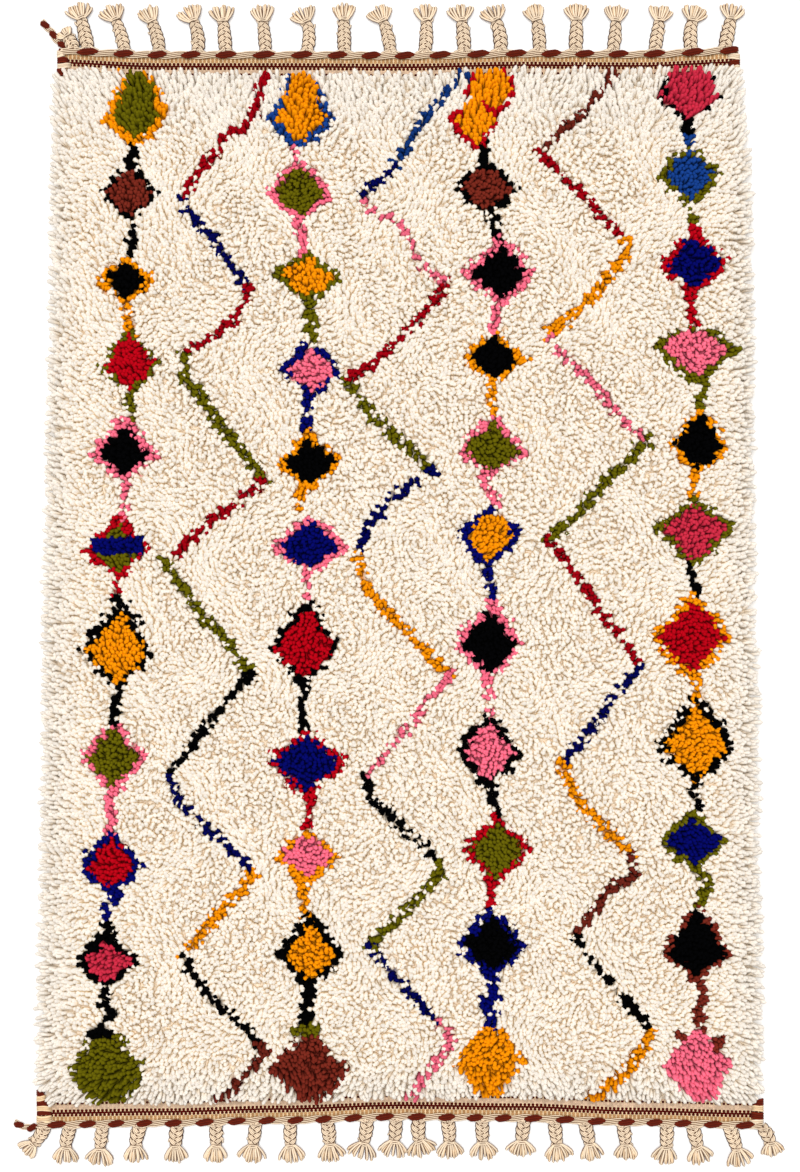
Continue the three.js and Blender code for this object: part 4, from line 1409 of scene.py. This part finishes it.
class RUG_OT_set_stage(Operator):
    """Lays the floor and sets the soft lights and the camera"""

    bl_idname = "rug.set_stage"
    bl_label = "Set Stage"

    FLOOR_HALF = 8.0
    LENS = 85.0
    SENSOR = 36.0
    FRAME_HEIGHT = 1640.8 * MM
    FRAME_MIDDLE = -1.4 * MM
    SHARP_HEIGHT = 10 * MM
    LIGHT_PLACE, LIGHT_SPREAD, LIGHT_STRENGTH = (-0.35, 0.75, 4.5), math.radians(45), 2.75
    SURROUND_STRENGTH = 0.5

    def execute(self, context):
        self.floor()
        self.lights(context.scene)
        camera = bpy.data.objects.new("camera", bpy.data.cameras.new("camera"))
        context.collection.objects.link(camera)
        camera.data.lens = self.LENS
        camera.data.sensor_width = self.SENSOR
        far = self.FRAME_HEIGHT * self.LENS / self.SENSOR
        camera.location = (0, self.FRAME_MIDDLE, self.SHARP_HEIGHT + far)
        context.scene.camera = camera
        context.scene.view_settings.view_transform = "Standard"
        return {"FINISHED"}

    def floor(self):
        """A wide pale floor under the rug."""
        half = self.FLOOR_HALF
        mesh = bpy.data.meshes.new("floor")
        corners = [(-half, -half, 0), (half, -half, 0), (half, half, 0), (-half, half, 0)]
        mesh.from_pydata(corners, [], [(0, 1, 2, 3)])
        mesh.materials.append(painted_floor("matt_white_floor_paint"))
        floor = bpy.data.objects.new("floor", mesh)
        bpy.context.collection.objects.link(floor)

    def lights(self, scene):
        """A broad soft light from overhead, a little towards the top left, and an even surround."""
        soft = bpy.data.lights.new("overhead_softbox", "SUN")
        soft.angle = self.LIGHT_SPREAD
        soft.energy = self.LIGHT_STRENGTH
        lamp = bpy.data.objects.new("overhead_softbox", soft)
        lamp.location = self.LIGHT_PLACE
        lamp.rotation_mode = "QUATERNION"
        lamp.rotation_quaternion = (-Vector(lamp.location)).to_track_quat("-Z", "Y")
        bpy.context.collection.objects.link(lamp)
        world = bpy.data.worlds.new("surround")
        world.use_nodes = True
        light = world.node_tree.nodes["Background"].inputs
        light["Color"].default_value = (1, 1, 1, 1)
        light["Strength"].default_value = self.SURROUND_STRENGTH
        scene.world = world


class RUG_PT_workshop(Panel):
    """The rug's sizes, wools and making steps"""

    bl_label = "Knotted Wool Rug"
    bl_space_type = "VIEW_3D"
    bl_region_type = "UI"
    bl_category = "Rug"

    def draw(self, context):
        for settings in (context.scene.rug_sizes, context.scene.rug_wools):
            box = self.layout.box()
            for name in settings.__annotations__:
                box.prop(settings, name)
        for step in MAKING_STEPS:
            self.layout.operator(step.bl_idname)


MAKING_STEPS = (
    RUG_OT_weave_ground,
    RUG_OT_tie_pile,
    RUG_OT_weave_bands,
    RUG_OT_twine_cords,
    RUG_OT_plait_braids,
    RUG_OT_set_stage,
)
CLASSES = (RugSizes, RugWools, *MAKING_STEPS, RUG_PT_workshop)


def register():
    for cls in CLASSES:
        bpy.utils.register_class(cls)
    Scene.rug_sizes = PointerProperty(type=RugSizes)
    Scene.rug_wools = PointerProperty(type=RugWools)


def unregister():
    del Scene.rug_wools
    del Scene.rug_sizes
    for cls in reversed(CLASSES):
        bpy.utils.unregister_class(cls)


def main():
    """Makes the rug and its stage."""
    register()
    bpy.ops.rug.weave_ground()
    bpy.ops.rug.tie_pile()
    bpy.ops.rug.weave_bands()
    bpy.ops.rug.twine_cords()
    bpy.ops.rug.plait_braids()
    bpy.ops.rug.set_stage()


if __name__ == "__main__":
    main()
